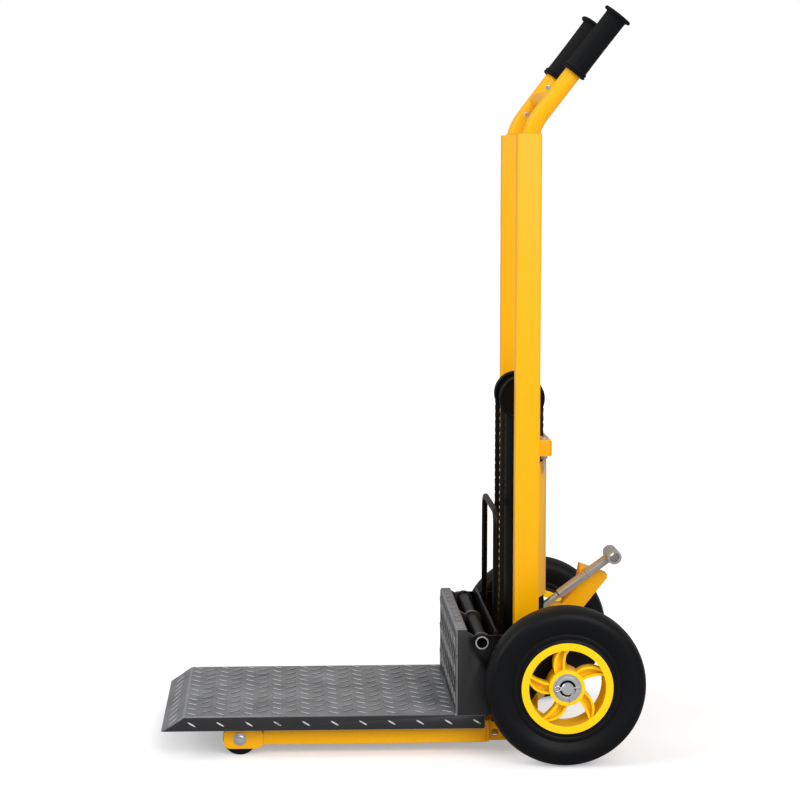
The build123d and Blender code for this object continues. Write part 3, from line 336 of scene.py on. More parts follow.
WORN_TO_STEEL = srgb(150, 150, 152)
FINISHES = (
    ("yellow_paint", "yellow", 0.36, dict(
        specular=0.2, coat=0.05, fine_scale=420, bump=0.09, mottle=0.035, gloss_change=0.07,
        worn_and_highlit=srgb(206, 186, 140), wear_and_highlight=0.35, dust_and_sheen=0.06)),
    ("rim_yellow", "rim", 0.4, dict(
        specular=0.2, fine_scale=260, bump=0.06, mottle=0.03, gloss_change=0.06,
        worn_and_highlit=srgb(255, 226, 90), wear_and_highlight=0.6, dust_and_sheen=0.05)),
    ("black_paint", "black", 0.4, dict(
        specular=0.16, fine_scale=1300, bump=0.16, mottle=0.14, worn_and_highlit=WORN_TO_STEEL, wear_and_highlight=0.3, dust_and_sheen=0.1)),
    # Tread plate: its strong pale patches on upward faces are mostly a painted reflection, and its pale edge tone is a
    # painted highlight on the bar crests.
    ("tread_plate", "tread", 0.38, dict(
        specular=0.3, fine_scale=1100, slow_scale=16, bump=0.14, mottle=0.16, gloss_change=0.08,
        worn_and_highlit=srgb(214, 214, 216), wear_and_highlight=0.9, wear_and_highlight_scale=140, bare_from=0.3, dust_and_sheen=0.85, dust_and_sheen_tone=srgb(176, 177, 180))),
    ("tyre_rubber", "tyre", 0.44, dict(
        specular=0.12, fine_scale=700, bump=0.14, mottle=0.12, worn_and_highlit=srgb(96, 96, 98), wear_and_highlight=0.4, dust_and_sheen=0.04)),
    ("grip_rubber", "grip", 0.62, dict(
        specular=0.1, fine_scale=1500, bump=0.5, bump_depth=0.0003, mottle=0.1,
        worn_and_highlit=srgb(88, 90, 95), wear_and_highlight=0.5, dust_and_sheen=0.06)),
    ("zinc_steel", "zinc", 0.3, dict(
        metallic=0.75, fine_scale=800, bump=0.06, mottle=0.08, gloss_change=0.08,
        worn_and_highlit=srgb(140, 138, 132), wear_and_highlight=0.3, dust_and_sheen=0.0)),
    ("bare_steel", "steel", 0.3, dict(
        metallic=0.8, fine_scale=240, stretch=8.0, bump=0.12, mottle=0.14, gloss_change=0.1,
        worn_and_highlit=srgb(110, 104, 98), wear_and_highlight=0.5, dust_and_sheen=0.0)),
    ("chromed_rod", "chrome", 0.12, dict(
        metallic=1.0, fine_scale=600, bump=0.03, mottle=0.04, gloss_change=0.04, dust_and_sheen=0.0)),
    ("oiled_chain", "chain", 0.34, dict(
        metallic=0.85, fine_scale=900, slow_scale=60, bump=0.1, mottle=0.3, dust_and_sheen=0.05)),
    ("pump_casting", "casting", 0.5, dict(
        specular=0.1, fine_scale=420, bump=0.5, bump_depth=0.0004, mottle=0.15,
        worn_and_highlit=WORN_TO_STEEL, wear_and_highlight=0.25, dust_and_sheen=0.12)),
    ("roller_plastic", "nylon", 0.45, dict(
        specular=0.13, fine_scale=500, bump=0.1, mottle=0.1, worn_and_highlit=srgb(80, 80, 80), wear_and_highlight=0.4, dust_and_sheen=0.15)),
)


class STACKER_OT_finishes(bpy.types.Operator):
    """Make every finish of the machine, by the record's slot names."""

    bl_idname = "stacker.finishes"
    bl_label = "Finishes"

    def execute(self, context):
        for slot, tone, roughness, details in FINISHES:
            finish(slot, tuple(getattr(context.scene.stacker_colours, tone)), roughness, **details)
        return {"FINISHED"}


def settle(work, name, slot="yellow_paint", body="frame", stands_for=(), smooth=38):
    """Turns a bmesh into a finished piece that rides on its body."""
    mesh = bpy.data.meshes.new(name)
    work.to_mesh(mesh)
    work.free()
    return place_mesh(mesh, name, slot, body, stands_for, smooth)


def place_mesh(mesh, name, slot, body, stands_for=(), smooth=38):
    mesh.materials.clear()
    mesh.materials.append(finishes[slot])
    mesh.shade_smooth()
    mesh.set_sharp_from_angle(angle=radians(smooth))
    piece = add_object(name, mesh)
    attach(piece, body)
    if stands_for:
        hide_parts(*stands_for)
    return piece


def add_object(name, data):
    thing = bpy.data.objects.new(name, data)
    bpy.context.scene.collection.objects.link(thing)
    return thing


def helper_object(name, work):
    """An object made from a bmesh, for a node tree to repeat. drop() removes it."""
    mesh = bpy.data.meshes.new(name)
    work.to_mesh(mesh)
    work.free()
    return add_object(name, mesh)


def drop(things):
    for thing in things:
        mesh = thing.data
        bpy.data.objects.remove(thing)
        bpy.data.meshes.remove(mesh)


def mark_edges(work, faces, mark=1.0):
    """Writes the edge mark, which the finish reads for rubbed edges and painted highlights, on the points that only
    these faces meet at.
    """
    layer = work.verts.layers.float["edge"]
    rounded = set(faces)
    for face in faces:
        for vert in face.verts:
            if rounded.issuperset(vert.link_faces):
                vert[layer] = mark


def clean_copy(node):
    """A frame piece's shape with its flat faces made whole and room for edge marks."""
    work = bmesh.new()
    work.from_mesh(nodes[node].data)
    bmesh.ops.remove_doubles(work, verts=work.verts[:], dist=MERGE)
    bmesh.ops.dissolve_limit(work, angle_limit=radians(0.6), verts=work.verts[:], edges=work.edges[:])
    work.verts.layers.float.new("edge")
    return work


def round_edges(work, chosen, radius, segments, mark=1.0):
    """Rounds and marks the edges that a test chooses."""
    made = bmesh.ops.bevel(
        work,
        geom=[edge for edge in work.edges if edge.is_manifold and chosen(edge)],
        offset=radius,
        offset_type="OFFSET",
        segments=segments,
        profile=0.5,
        affect="EDGES",
        clamp_overlap=True,
    )
    mark_edges(work, made["faces"], mark)


def sharper_than(limit):
    return lambda edge: edge.calc_face_angle(0) > radians(limit)


def dress(node, name, slot="yellow_paint", body="frame", radius=None, smooth=38, segments=2, limit=30):
    """A frame piece with its sharp edges rounded."""
    work = clean_copy(node)
    round_edges(work, sharper_than(limit), radius or bpy.context.scene.stacker_sizes.edge, segments)
    return settle(work, name, slot, body, (node,), smooth)


def softened(points, radius, steps=3):
    """A closed flat outline with its corners rounded."""
    result = []
    for index, corner in enumerate(points):
        here = Vector(corner)
        before = Vector(points[index - 1]) - here
        after = Vector(points[(index + 1) % len(points)]) - here
        half = before.angle(after) / 2
        cut = min(radius / tan(half), before.length * 0.45, after.length * 0.45)
        for step in range(steps + 1):
            part = step / steps
            first = here + before.normalized() * cut * (1 - part)
            second = here + after.normalized() * cut * part
            result.append(first.lerp(second, part))
    return result


def mirrored(half, *between):
    """An outline and its mirror image, with any points between them."""
    return half + list(between) + [(-along, radius) for along, radius in reversed(half)]


def circle(steps):
    """The angles of a full circle, its first one again at the end."""
    return [2 * pi * step / steps for step in range(steps + 1)]


def bridge(work, rings):
    """Faces between rings of equally many points."""
    for here, following in zip(rings, rings[1:]):
        for index in range(len(here)):
            other = (index + 1) % len(here)
            work.faces.new((here[index], here[other], following[other], following[index]))


def cap(work, rings):
    work.faces.new(list(reversed(rings[0])))
    work.faces.new(rings[-1])


def close_up(work):
    bmesh.ops.remove_doubles(work, verts=work.verts[:], dist=MERGE)
    bmesh.ops.recalc_face_normals(work, faces=work.faces[:])


def lathe(work, profile, place, steps, axis=OUTWARD[1]):
    """Turns a closed outline of (along, radius) points about an axis through a place."""
    aim = OUTWARD[1].rotation_difference(axis).to_matrix()
    rings = [
        [
            work.verts.new(place + aim @ Vector((along, radius * cos(angle), radius * sin(angle))))
            for along, radius in profile
        ]
        for angle in circle(steps)[:-1]
    ]
    bridge(work, rings + rings[:1])
    close_up(work)


def turned(profile, place, steps=None, axis=OUTWARD[1]):
    """A turned piece."""
    work = bmesh.new()
    lathe(work, profile, place, steps or bpy.context.scene.stacker_sizes.turns, axis)
    return work


def join(target, other):
    """Adds one bmesh to another and frees it."""
    mesh = bpy.data.meshes.new("joined")
    other.to_mesh(mesh)
    other.free()
    target.from_mesh(mesh)
    bpy.data.meshes.remove(mesh)


def add_apart(target, build, *details):
    """Builds a part by itself and adds it, so that it isn't merged with its neighbours."""
    part = bmesh.new()
    build(part, *details)
    join(target, part)


def arc_path(points, radius, steps=10):
    """Straight runs joined by arcs."""
    path = [points[0]]
    for before, corner, after in zip(points, points[1:], points[2:]):
        back = (before - corner).normalized()
        onward = (after - corner).normalized()
        half = back.angle(onward) / 2
        centre = corner + (back + onward).normalized() * radius / sin(half)
        start = corner + back * (radius / tan(half)) - centre
        stop = corner + onward * (radius / tan(half)) - centre
        sweep = start.angle(stop)
        for step in range(steps + 1):
            angle = sweep * step / steps
            path.append(centre + (start * sin(sweep - angle) + stop * sin(angle)) / sin(sweep))
    path.append(points[-1])
    return path


def path_frames(path):
    """A place and two crosswise directions at each point, carried along without twist."""
    frames = []
    across = None
    for index, point in enumerate(path):
        before = path[max(index - 1, 0)]
        after = path[min(index + 1, len(path) - 1)]
        along = (after - before).normalized()
        if across is None:
            helper = OUTWARD[1] if abs(along.x) < 0.9 else BACKWARD
            across = along.cross(helper).normalized()
        across = (across - along * across.dot(along)).normalized()
        frames.append((point, across, along.cross(across).normalized()))
    return frames


def bar_piece(path, radius, sides=24, bore=0.0, edge=0.0006):
    """A round bar or tube along a path, its ends rounded off."""
    work = bmesh.new()
    frames = path_frames(path)
    still = Vector()
    start_shift = (path[1] - path[0]).normalized() * edge
    end_shift = (path[-2] - path[-1]).normalized() * edge
    sections = [(frames[0], radius - edge, still), (frames[0], radius, start_shift)]
    sections += [(spot, radius, still) for spot in frames[1:-1]]
    sections += [(frames[-1], radius, end_shift), (frames[-1], radius - edge, still)]
    if bore:
        sections += [(spot, bore, still) for spot in reversed(frames)]
    rings = [
        [
            work.verts.new(point + shift + (across * cos(angle) + upright * sin(angle)) * size)
            for angle in circle(sides)[:-1]
        ]
        for (point, across, upright), size, shift in sections
    ]
    if bore:
        rings.append(rings[0])
    bridge(work, rings)
    if not bore:
        cap(work, rings)
    bmesh.ops.recalc_face_normals(work, faces=work.faces[:])
    return work


def geometry_group(name, **sockets):
    """An empty geometry tree, the sockets that it is given and those that it fills."""
    group = bpy.data.node_groups.new(name, "GeometryNodeTree")
    for key, kind in {"geometry": "Geometry", **sockets, "finish": "Material"}.items():
        group.interface.new_socket(label(key), in_out="INPUT", socket_type=f"NodeSocket{kind}")
    group.interface.new_socket("Geometry", in_out="OUTPUT", socket_type="NodeSocketGeometry")
    return group, group.nodes.new("NodeGroupInput").outputs, group.nodes.new("NodeGroupOutput").inputs


def end_tree(group, geometry, given, out):
    """Ends a geometry tree with real geometry in its finish."""
    solid = add_node(group, "GeometryNodeRealizeInstances", {"Geometry": geometry}).outputs["Geometry"]
    painted = add_node(group, "GeometryNodeSetMaterial", {"Geometry": solid, "Material": given["Finish"]})
    group.links.new(painted.outputs["Geometry"], out["Geometry"])
    return group


def run_tree(group, mesh, slot, **values):
    """Puts a geometry tree on a mesh and gives the mesh that comes out."""
    carrier = add_object("carrier", mesh)
    modifier = carrier.modifiers.new(group.name, "NODES")
    modifier.node_group = group
    values["finish"] = finishes[slot]
    for item in group.interface.items_tree:
        key = item.name.lower().replace(" ", "_")
        if item.in_out == "INPUT" and key in values:
            modifier[item.identifier] = values[key]
    bpy.context.view_layer.update()
    depsgraph = bpy.context.evaluated_depsgraph_get()
    result = bpy.data.meshes.new_from_object(carrier.evaluated_get(depsgraph))
    bpy.data.objects.remove(carrier)
    return result


def line_mesh(path):
    mesh = bpy.data.meshes.new("path")
    mesh.from_pydata([tuple(point) for point in path], [(i, i + 1) for i in range(len(path) - 1)], [])
    return mesh


def spaced_curve(group, geometry, step):
    """A mesh line as a curve with points a step apart."""
    curve = add_node(group, "GeometryNodeMeshToCurve", {"Mesh": geometry}).outputs["Curve"]
    spaced = add_node(group, "GeometryNodeResampleCurve", {"Curve": curve, "Length": step}, mode="LENGTH")
    return spaced.outputs["Curve"]


@once("Weld bead")
def weld_tree(name):
    """A rippled weld bead along a path."""
    group, given, out = geometry_group(name, radius="Float", ripple="Float", sides="Int")
    spaced = spaced_curve(group, given["Geometry"], calc(group, "DIVIDE", given["Ripple"], 4.0))
    along = add_node(group, "GeometryNodeSplineParameter").outputs["Length"]
    angle = calc(group, "MULTIPLY", calc(group, "DIVIDE", along, given["Ripple"]), 2 * pi)
    swell = calc(group, "MULTIPLY_ADD", calc(group, "SINE", angle), 0.12, 1.0)
    size = calc(group, "MULTIPLY", swell, given["Radius"])
    ring = add_node(group, "GeometryNodeCurvePrimitiveCircle", {"Resolution": given["Sides"], "Radius": 1.0})
    inputs = {"Curve": spaced, "Profile Curve": ring.outputs["Curve"], "Scale": size, "Fill Caps": True}
    bead = add_node(group, "GeometryNodeCurveToMesh", inputs)
    return end_tree(group, bead.outputs["Mesh"], given, out)


def welds(name, paths, thinner, slot="yellow_paint", body="frame"):
    """One piece of weld beads along several paths, a share thinner than the usual bead."""
    sizes = bpy.context.scene.stacker_sizes
    work = bmesh.new()
    for path in paths:
        mesh = run_tree(weld_tree(), line_mesh(path), slot, radius=sizes.weld * thinner, ripple=sizes.ripple, sides=8)
        work.from_mesh(mesh)
        bpy.data.meshes.remove(mesh)
    return settle(work, name, slot, body, smooth=60)


def line(*points):
    return [Vector(point) for point in points]


def upright_line(x, y, low, high):
    return line((x, y, low), (x, y, high))


def seen_straight(tree, rays):
    """One for what the camera sees, also through glass, and nothing for what only lights or reflects."""
    return calc(tree, "MAXIMUM", rays["Is Camera Ray"], rays["Is Transmission Ray"])


class STACKER_OT_stage(bpy.types.Operator):
    """Set up the camera, the lamps, the sky and the pale floor."""

    bl_idname = "stacker.stage"
    bl_label = "Stage"

    def execute(self, context):
        stage = context.scene.stacker_stage
        context.scene.view_settings.view_transform = "Standard"
        data = bpy.data.cameras.new("view")
        data.lens = stage.lens
        data.clip_end = 2 * stage.floor_half
        camera = add_object("view", data)
        aim = Vector((
            -cos(stage.pitch) * cos(stage.yaw),
            cos(stage.pitch) * sin(stage.yaw),
            -sin(stage.pitch),
        ))
        level = aim.cross(UP).normalized()
        upright = level.cross(aim)
        right = level * cos(stage.roll) + upright * sin(stage.roll)
        top = upright * cos(stage.roll) - level * sin(stage.roll)
        facing = Matrix((right, top, -aim)).transposed()
        camera.matrix_world = Matrix.Translation(stage.camera_place) @ facing.to_4x4()
        context.scene.camera = camera

        for name, energy, toward in (
            ("key_lamp", stage.key, Vector((-0.88, -0.28, -0.55))),
            ("fill_lamp", stage.fill, Vector((-0.25, 0.75, -0.5))),
        ):
            lamp = bpy.data.lights.new(name, "SUN")
            lamp.energy = energy
            lamp.angle = stage.lamp_spread
            add_object(name, lamp).rotation_euler = toward.to_track_quat("-Z", "Y").to_euler()

        world = bpy.data.worlds.new("sky")
        context.scene.world = world
        world.use_nodes = True
        tree = world.node_tree
        tree.nodes.clear()
        rays = add_node(tree, "ShaderNodeLightPath").outputs
        lit = remap(tree, rays["Is Glossy Ray"], 0.0, 1.0, stage.sky, stage.reflection)
        brightness = remap(tree, seen_straight(tree, rays), 0.0, 1.0, lit, 1.0)
        light = add_node(tree, "ShaderNodeBackground", {"Color": (1, 1, 1, 1), "Strength": brightness})
        out = add_node(tree, "ShaderNodeOutputWorld", {"Surface": light.outputs[0]})
        out.is_active_output = True

        half = stage.floor_half
        mesh = bpy.data.meshes.new("floor")
        mesh.from_pydata([(-half, -half, 0), (half, -half, 0), (half, half, 0), (-half, half, 0)], [], [(0, 1, 2, 3)])
        floor = add_object("floor", mesh)
        material = bpy.data.materials.new("pale_floor")
        material.use_nodes = True
        tree = material.node_tree
        tree.nodes.clear()
        cloud = noise(tree, add_node(tree, "ShaderNodeTexCoord").outputs["Object"], 0.6, 2.0)
        tone = mixed(tree, cloud, (0.80, 0.80, 0.81, 1), (0.82, 0.82, 0.82, 1))
        rays = add_node(tree, "ShaderNodeLightPath").outputs
        dimmed = remap(tree, rays["Is Glossy Ray"], 0.0, 1.0, 1.0, stage.floor_reflection)
        shade = add_node(tree, "ShaderNodeVectorMath", {0: tone, "Scale": dimmed}, operation="SCALE")
        matt = add_node(tree, "ShaderNodeBsdfDiffuse", {"Color": shade.outputs["Vector"]})
        lift = calc(tree, "MULTIPLY", seen_straight(tree, rays), stage.floor_glow)
        glow = add_node(tree, "ShaderNodeEmission", {"Color": (1, 1, 1, 1), "Strength": lift})
        both = add_node(tree, "ShaderNodeAddShader", {0: matt.outputs[0], 1: glow.outputs[0]})
        add_node(tree, "ShaderNodeOutputMaterial", {"Surface": both.outputs[0]})
        mesh.materials.append(material)
        return {"FINISHED"}


def stack(work, place, axis, sections, steps=48):
    """Rings stacked along an axis: each section is a function of the angle that gives (along, radius)."""
    aim = UP.rotation_difference(axis).to_matrix()
    rings = []
    for section in sections:
        ring = []
        for angle in circle(steps)[:-1]:
            along, radius = section(angle) if callable(section) else section
            ring.append(work.verts.new(place + aim @ Vector((radius * cos(angle), radius * sin(angle), along))))
        rings.append(ring)
    bridge(work, rings)
    cap(work, rings)
    close_up(work)


def hexagon(corner):
    """The radius of a hexagon over its flats and at an angle, from its corner radius."""
    flat = corner * cos(pi / 6)
    return flat, lambda angle: flat / cos((angle + pi / 6) % (pi / 3) - pi / 6)


def add_hex_head(work, place, axis, corner, height):
    """A hexagon head or nut with a turned chamfer on its outer face."""
    flat, radius = hexagon(corner)
    face = flat * 0.94

    def side_top(angle):
        return height - (radius(angle) - face) * 0.55, radius(angle)

    stack(work, place, axis, [lambda angle: (0, radius(angle)), side_top, (height, face)])


def add_button_head(work, place, axis, radius, height, socket):
    """A domed head with a hexagon socket."""
    inside = hexagon(socket)[1]
    dome = [(0, radius - 0.0003), (0.0003, radius), (height * 0.35, radius)]
    for step in range(1, 6):
        angle = step / 6 * pi / 2
        dome.append((height * (0.35 + 0.65 * sin(angle)), socket * 1.15 + (radius - socket * 1.15) * cos(angle)))
    dome.append((height, socket * 1.15))
    dome += [lambda angle: (height, inside(angle)), lambda angle: (height * 0.4, inside(angle))]
    stack(work, place, axis, dome)


def add_disc(work, place, axis, outer, inner, thickness, corner=0.0003):
    """A washer or ring with rounded edges, standing out from a place along its axis."""
    outline = softened([(0, inner), (0, outer), (thickness, outer), (thickness, inner)], corner)
    add_apart(work, lathe, [tuple(point) for point in outline], place, 64, axis)


def add_shaft(work, place, axis, radius, whole, corner=0.0005, steps=48):
    sections = [(0, radius - corner), (corner, radius), (whole - corner, radius), (whole, radius - corner)]
    stack(work, place, axis, sections, steps)


def add_thread(work, place, axis, radius, whole, pitch=0.001):
    """A run of thread, drawn as rings."""
    rings = [(0, radius * 0.8)]
    for number in range(int(whole / pitch)):
        rings += [((number + 0.25) * pitch, radius), ((number + 0.75) * pitch, radius * 0.86)]
    rings.append((whole, radius * 0.8))
    stack(work, place, axis, rings, 32)


def handle_line(side):
    """Foot, bend and end of a handle's middle line, and its upper direction."""
    sizes = bpy.context.scene.stacker_sizes
    centre = middle(f"mast_column_{side}")
    rise = sizes.handle_end - sizes.handle_bend
    foot = Vector((centre.x, centre.y, sizes.handle_foot))
    bend = Vector((centre.x, centre.y, sizes.handle_bend))
    splay = SIDES[side] * sizes.handle_splay
    end = bend + Vector((splay, rise * tan(sizes.handle_lean), rise))
    return foot, bend, end, (end - bend).normalized()


def saddle_path(side):
    """Where the brace meets a handle tube."""
    handle_radius = bpy.context.scene.stacker_sizes.handle_radius
    _, bend, _, along = handle_line(side)
    low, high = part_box("handle_brace")
    centre = (low + high) / 2
    radius = (high.z - low.z) / 2
    start = bend + along * ((centre.z - bend.z) / along.z)
    points = []
    for angle in circle(32):
        off = Vector((0, radius * cos(angle), radius * sin(angle)))
        shared = off.dot(along)
        square = 1 - along.x ** 2
        linear = -2 * along.x * shared
        rest = off.length_squared - shared ** 2 - handle_radius ** 2
        root = (linear ** 2 - 4 * square * rest) ** 0.5
        points.append(start + off + Vector(((-linear - SIDES[side] * root) / (2 * square), 0, 0)))
    return points


class STACKER_OT_mast(bpy.types.Operator):
    """Make the two columns, the handle tubes and the brace between them."""

    bl_idname = "stacker.mast"
    bl_label = "Mast and handles"

    def execute(self, context):
        sizes = context.scene.stacker_sizes
        seams = []
        bend_start = 0.9915
        for side in SIDES:
            dress(f"mast_column_{side}", f"column_{side}", limit=50)
            foot, bend, end, _ = handle_line(side)
            tube = bar_piece(arc_path([foot, bend, end], sizes.handle_turn), sizes.handle_radius, 48, sizes.handle_bore)
            settle(tube, f"handle_{side}", stands_for=(f"handle_tube_{side}",), smooth=50)
            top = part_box(f"mast_column_{side}")[1].z
            lean = sizes.handle_turn - (sizes.handle_turn ** 2 - (top - bend_start) ** 2) ** 0.5
            around = sizes.handle_radius + 0.0006
            seams.append([
                Vector((foot.x + around * cos(angle), foot.y + lean + around * sin(angle), top)) for angle in circle(40)
            ])
            seams.append(saddle_path(side))
        dress("handle_brace", "brace", radius=sizes.small_edge, smooth=50, limit=60)
        welds("handle_welds", seams, 0.8)
        bolts = bmesh.new()
        bend, end = handle_line("right")[1:3]
        for share in (0.16, 0.42):
            spot = bend.lerp(end, share) + Vector((sizes.handle_radius - 0.0006, 0, 0))
            add_button_head(bolts, spot, OUTWARD[1], 0.0042, 0.0022, 0.0016)
        settle(bolts, "handle_screws", "zinc_steel")
        return {"FINISHED"}


class STACKER_OT_grips(bpy.types.Operator):
    """Mould the rubber grips."""

    bl_idname = "stacker.grips"
    bl_label = "Grips"

    def execute(self, context):
        sizes = context.scene.stacker_sizes
        whole = sizes.grip_length
        bore, radius, ring, ring_end, flange = 0.01405, 0.0185, 0.021, 0.009, 0.0245
        body_start = ring_end + 0.0015
        body_end = whole - 0.0075
        outline = [(0, bore), (0, ring - 0.0012), (0.0012, ring), (0.0036, ring), (0.0042, ring - 0.0012)]
        outline += [(0.0052, ring - 0.0012), (0.0058, ring - 0.0003), (ring_end - 0.001, ring - 0.0003)]
        outline += [(ring_end, ring - 0.0013), (body_start, radius)]
        for number in range(1, 12):
            part = number / 12
            outline.append((body_start + (body_end - ring_end - 0.0015) * part, radius - 0.0004 * sin(pi * part)))
        outline += [(body_end, radius), (whole - 0.0056, radius + 0.0012), (whole - 0.005, flange - 0.001)]
        outline += [(whole - 0.004, flange), (whole - 0.0012, flange), (whole, flange - 0.0014), (whole, 0.0055)]
        outline += [(whole - 0.0012, 0.0045), (whole - 0.0012, 0), (whole - sizes.grip_end + 0.0002, 0)]
        outline += [(whole - sizes.grip_end + 0.0002, bore)]
        for side in SIDES:
            end, along = handle_line(side)[2:]
            grip = turned(outline, end - along * (whole - sizes.grip_end), 72, along)
            settle(grip, f"grip_{side}", "grip_rubber", "frame", (f"handle_grip_{side}",), smooth=35)
        return {"FINISHED"}


class STACKER_OT_base(bpy.types.Operator):
    """Make the base beam, brackets, legs, roller forks and their bolts."""

    bl_idname = "stacker.base"
    bl_label = "Base frame"

    def execute(self, context):
        sizes = context.scene.stacker_sizes
        dress("base_beam", "beam")
        dress("roller_forks", "forks", limit=50)
        seams = []
        bracket_top = 0.0524
        for side in SIDES:
            dress(f"base_bracket_{side}", f"bracket_{side}", limit=50)
            dress(f"base_leg_{side}", f"leg_{side}", radius=sizes.edge * 2)
            low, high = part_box(f"base_leg_{side}")
            back = high.y - 0.0004
            seams.append(line(
                (low.x, back, low.z + 0.003),
                (low.x, back, high.z - 0.001),
                (low.x + 0.001, back, high.z),
                (high.x - 0.001, back, high.z),
                (high.x, back, high.z - 0.001),
                (high.x, back, low.z + 0.003),
            ))
            front = low.y + 0.0004
            seams.append(line((low.x + 0.0008, front, high.z), (high.x - 0.0008, front, high.z)))
            low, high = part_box(f"mast_column_{side}")
            for face in (low.x, high.x):
                seams.append(line((face, low.y + 0.002, bracket_top), (face, high.y - 0.002, bracket_top)))
        welds("base_welds", seams, 1)

        bolts = bmesh.new()
        washers = bmesh.new()
        for side, way in SIDES.items():
            centre = middle(f"front_roller_{side}")
            add_shaft(bolts, centre - OUTWARD[way] * 0.0225, OUTWARD[way], 0.005, 0.0455)
            for direction in (OUTWARD[way], OUTWARD[-way]):
                spot = centre + direction * 0.015
                add_disc(washers, spot, direction, 0.0105, 0.0052, 0.0019)
                add_hex_head(bolts, spot + direction * 0.0019, direction, 0.008, 0.005)
        settle(washers, "roller_washers", "zinc_steel")
        settle(bolts, "roller_bolts", "zinc_steel", "frame", ("front_roller_bolts",))
        for side in SIDES:
            low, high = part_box(f"front_roller_{side}")
            half = (high.x - low.x) / 2
            radius = (high.z - low.z) / 2
            outline = [(-half, 0.0052), (-half, 0.0095), (-half + 0.0008, 0.0102), (-half + 0.0008, 0.0165)]
            outline += [(-half, 0.0175), (-half, radius - 0.003), (-half + 0.001, radius - 0.0012)]
            outline += [(-half + 0.003, radius)]
            roller = turned(mirrored(outline), (low + high) / 2)
            settle(roller, f"tip_roller_{side}", "roller_plastic", f"tip_roller_{side}", (f"front_roller_{side}",), 30)
        return {"FINISHED"}


class STACKER_OT_wheels(bpy.types.Operator):
    """Make the tyres, rims, bearings, axle and cotter pins."""

    bl_idname = "stacker.wheels"
    bl_label = "Wheels and axle"

    def execute(self, context):
        sizes = context.scene.stacker_sizes
        half_tyre = [
            (26.7, 74.05), (26.5, 75.6), (25.3, 78.4), (24.9, 79.6), (25.7, 80.6), (26.1, 82.0), (26.1, 86.4),
            (25.7, 87.4), (24.9, 88.1), (25.0, 89.2), (26.4, 92.0), (28.4, 96.2), (29.8, 100.6), (30.7, 105.4),
            (30.9, 110.2), (30.4, 114.6), (29.2, 118.6), (27.4, 121.8), (24.8, 124.4), (20.6, 126.8), (15.0, 128.5),
            (8.0, 129.7),
        ]
        tyre = mirrored([(across / 1000, radius / 1000) for across, radius in half_tyre], (0, 0.13))
        half = 0.006
        ring = [(-half, 0.01006), (-half, 0.0134), (-half + 0.0005, 0.0138), (-half + 0.0007, 0.0142)]
        ring += [(-half + 0.0007, 0.0188), (-half + 0.0005, 0.0192), (-half, 0.0196), (-half, 0.0226)]
        ring += [(-half + 0.0004, 0.02298)]
        for side in SIDES:
            hub = middle(f"rim_{side}")
            body = f"wheel_{side}"
            settle(turned(tyre, hub, 144), f"rubber_tyre_{side}", "tyre_rubber", body, (f"tyre_{side}",), smooth=42)
            dress(f"rim_{side}", f"swirl_rim_{side}", "rim_yellow", body, sizes.edge * 1.3, limit=40, segments=3)
            bearings = bmesh.new()
            for offset in (-0.017, 0.017):
                add_apart(bearings, lathe, mirrored(ring), hub + Vector((offset, 0, 0)), 96)
            settle(bearings, f"bearings_{side}", "zinc_steel", body, (f"wheel_bearings_{side}",), smooth=25)

        low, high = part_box("wheel_axle")
        half = (high.x - low.x) / 2
        axle = mirrored([(-half, 0), (-half, 0.0088), (-half + 0.0012, 0.01)])
        settle(turned(axle, (low + high) / 2), "axle", "zinc_steel", "frame", ("wheel_axle",), smooth=30)
        spacers, washers, gap_shades, pins = (bmesh.new() for _ in range(4))
        gusset, washer_face, wire = 0.143, 0.0233, 0.0014
        for side, way in SIDES.items():
            hub = middle(f"rim_{side}")
            outward = OUTWARD[way]
            start = at_x(hub, way * gusset)
            add_disc(spacers, start, outward, 0.013, 0.01003, hub.x * way - washer_face - gusset, 0.0006)
            add_disc(washers, hub + outward * washer_face, outward, 0.0192, 0.0135, 0.0025, 0.0004)
            # A thin black ring in the gap between each washer and the axle: painted shade of the deep gap, not a real
            # part.
            add_disc(gap_shades, hub + outward * washer_face, outward, 0.0134, 0.0101, 0.0008, 0.0002)
            spot = at_x(hub, way * (half - 0.0025))
            eye = []
            for step in range(25):
                angle = radians(20) + radians(320) * step / 24
                eye.append(spot + Vector((0, -0.0162 + 0.0042 * cos(angle), 0.0042 * sin(angle))))
            upper = [eye[0]] + [spot + point for point in line((0, -0.0112, 0.0013), (0, 0.0222, 0.0013))]
            lower = [eye[-1]] + [spot + point for point in line(
                (0, -0.0112, -0.0013),
                (0, 0.0122, -0.0013),
                (0.0004 * way, 0.0052, -0.0128),
                (0.0004 * way, 0.0044, -0.0225),
            )]
            for path in (eye, arc_path(upper, 0.004, 4), arc_path(lower, 0.0025, 6)):
                join(pins, bar_piece(path, wire, 14))
        settle(spacers, "spacers", "zinc_steel", "frame", ("axle_spacers",))
        settle(washers, "hub_washers", "zinc_steel", "frame", ("axle_washers",))
        # The black gap rings are painted shade.
        settle(gap_shades, "hub_seals", "pump_casting")
        settle(pins, "cotter_pins", "zinc_steel", "frame", ("split_pins",), smooth=50)

        dress("axle_gussets", "gussets", limit=50)
        seams = []
        for side, way in SIDES.items():
            low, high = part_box(f"mast_column_{side}")
            inner, outer = sorted((abs(low.x), abs(high.x)))
            for face in (inner + 0.002, inner + 0.007, outer - 0.007, outer - 0.002):
                seams.append(upright_line(way * face, high.y + 0.0003, 0.097, 0.156))
        welds("gusset_welds", seams, 0.75)
        return {"FINISHED"}


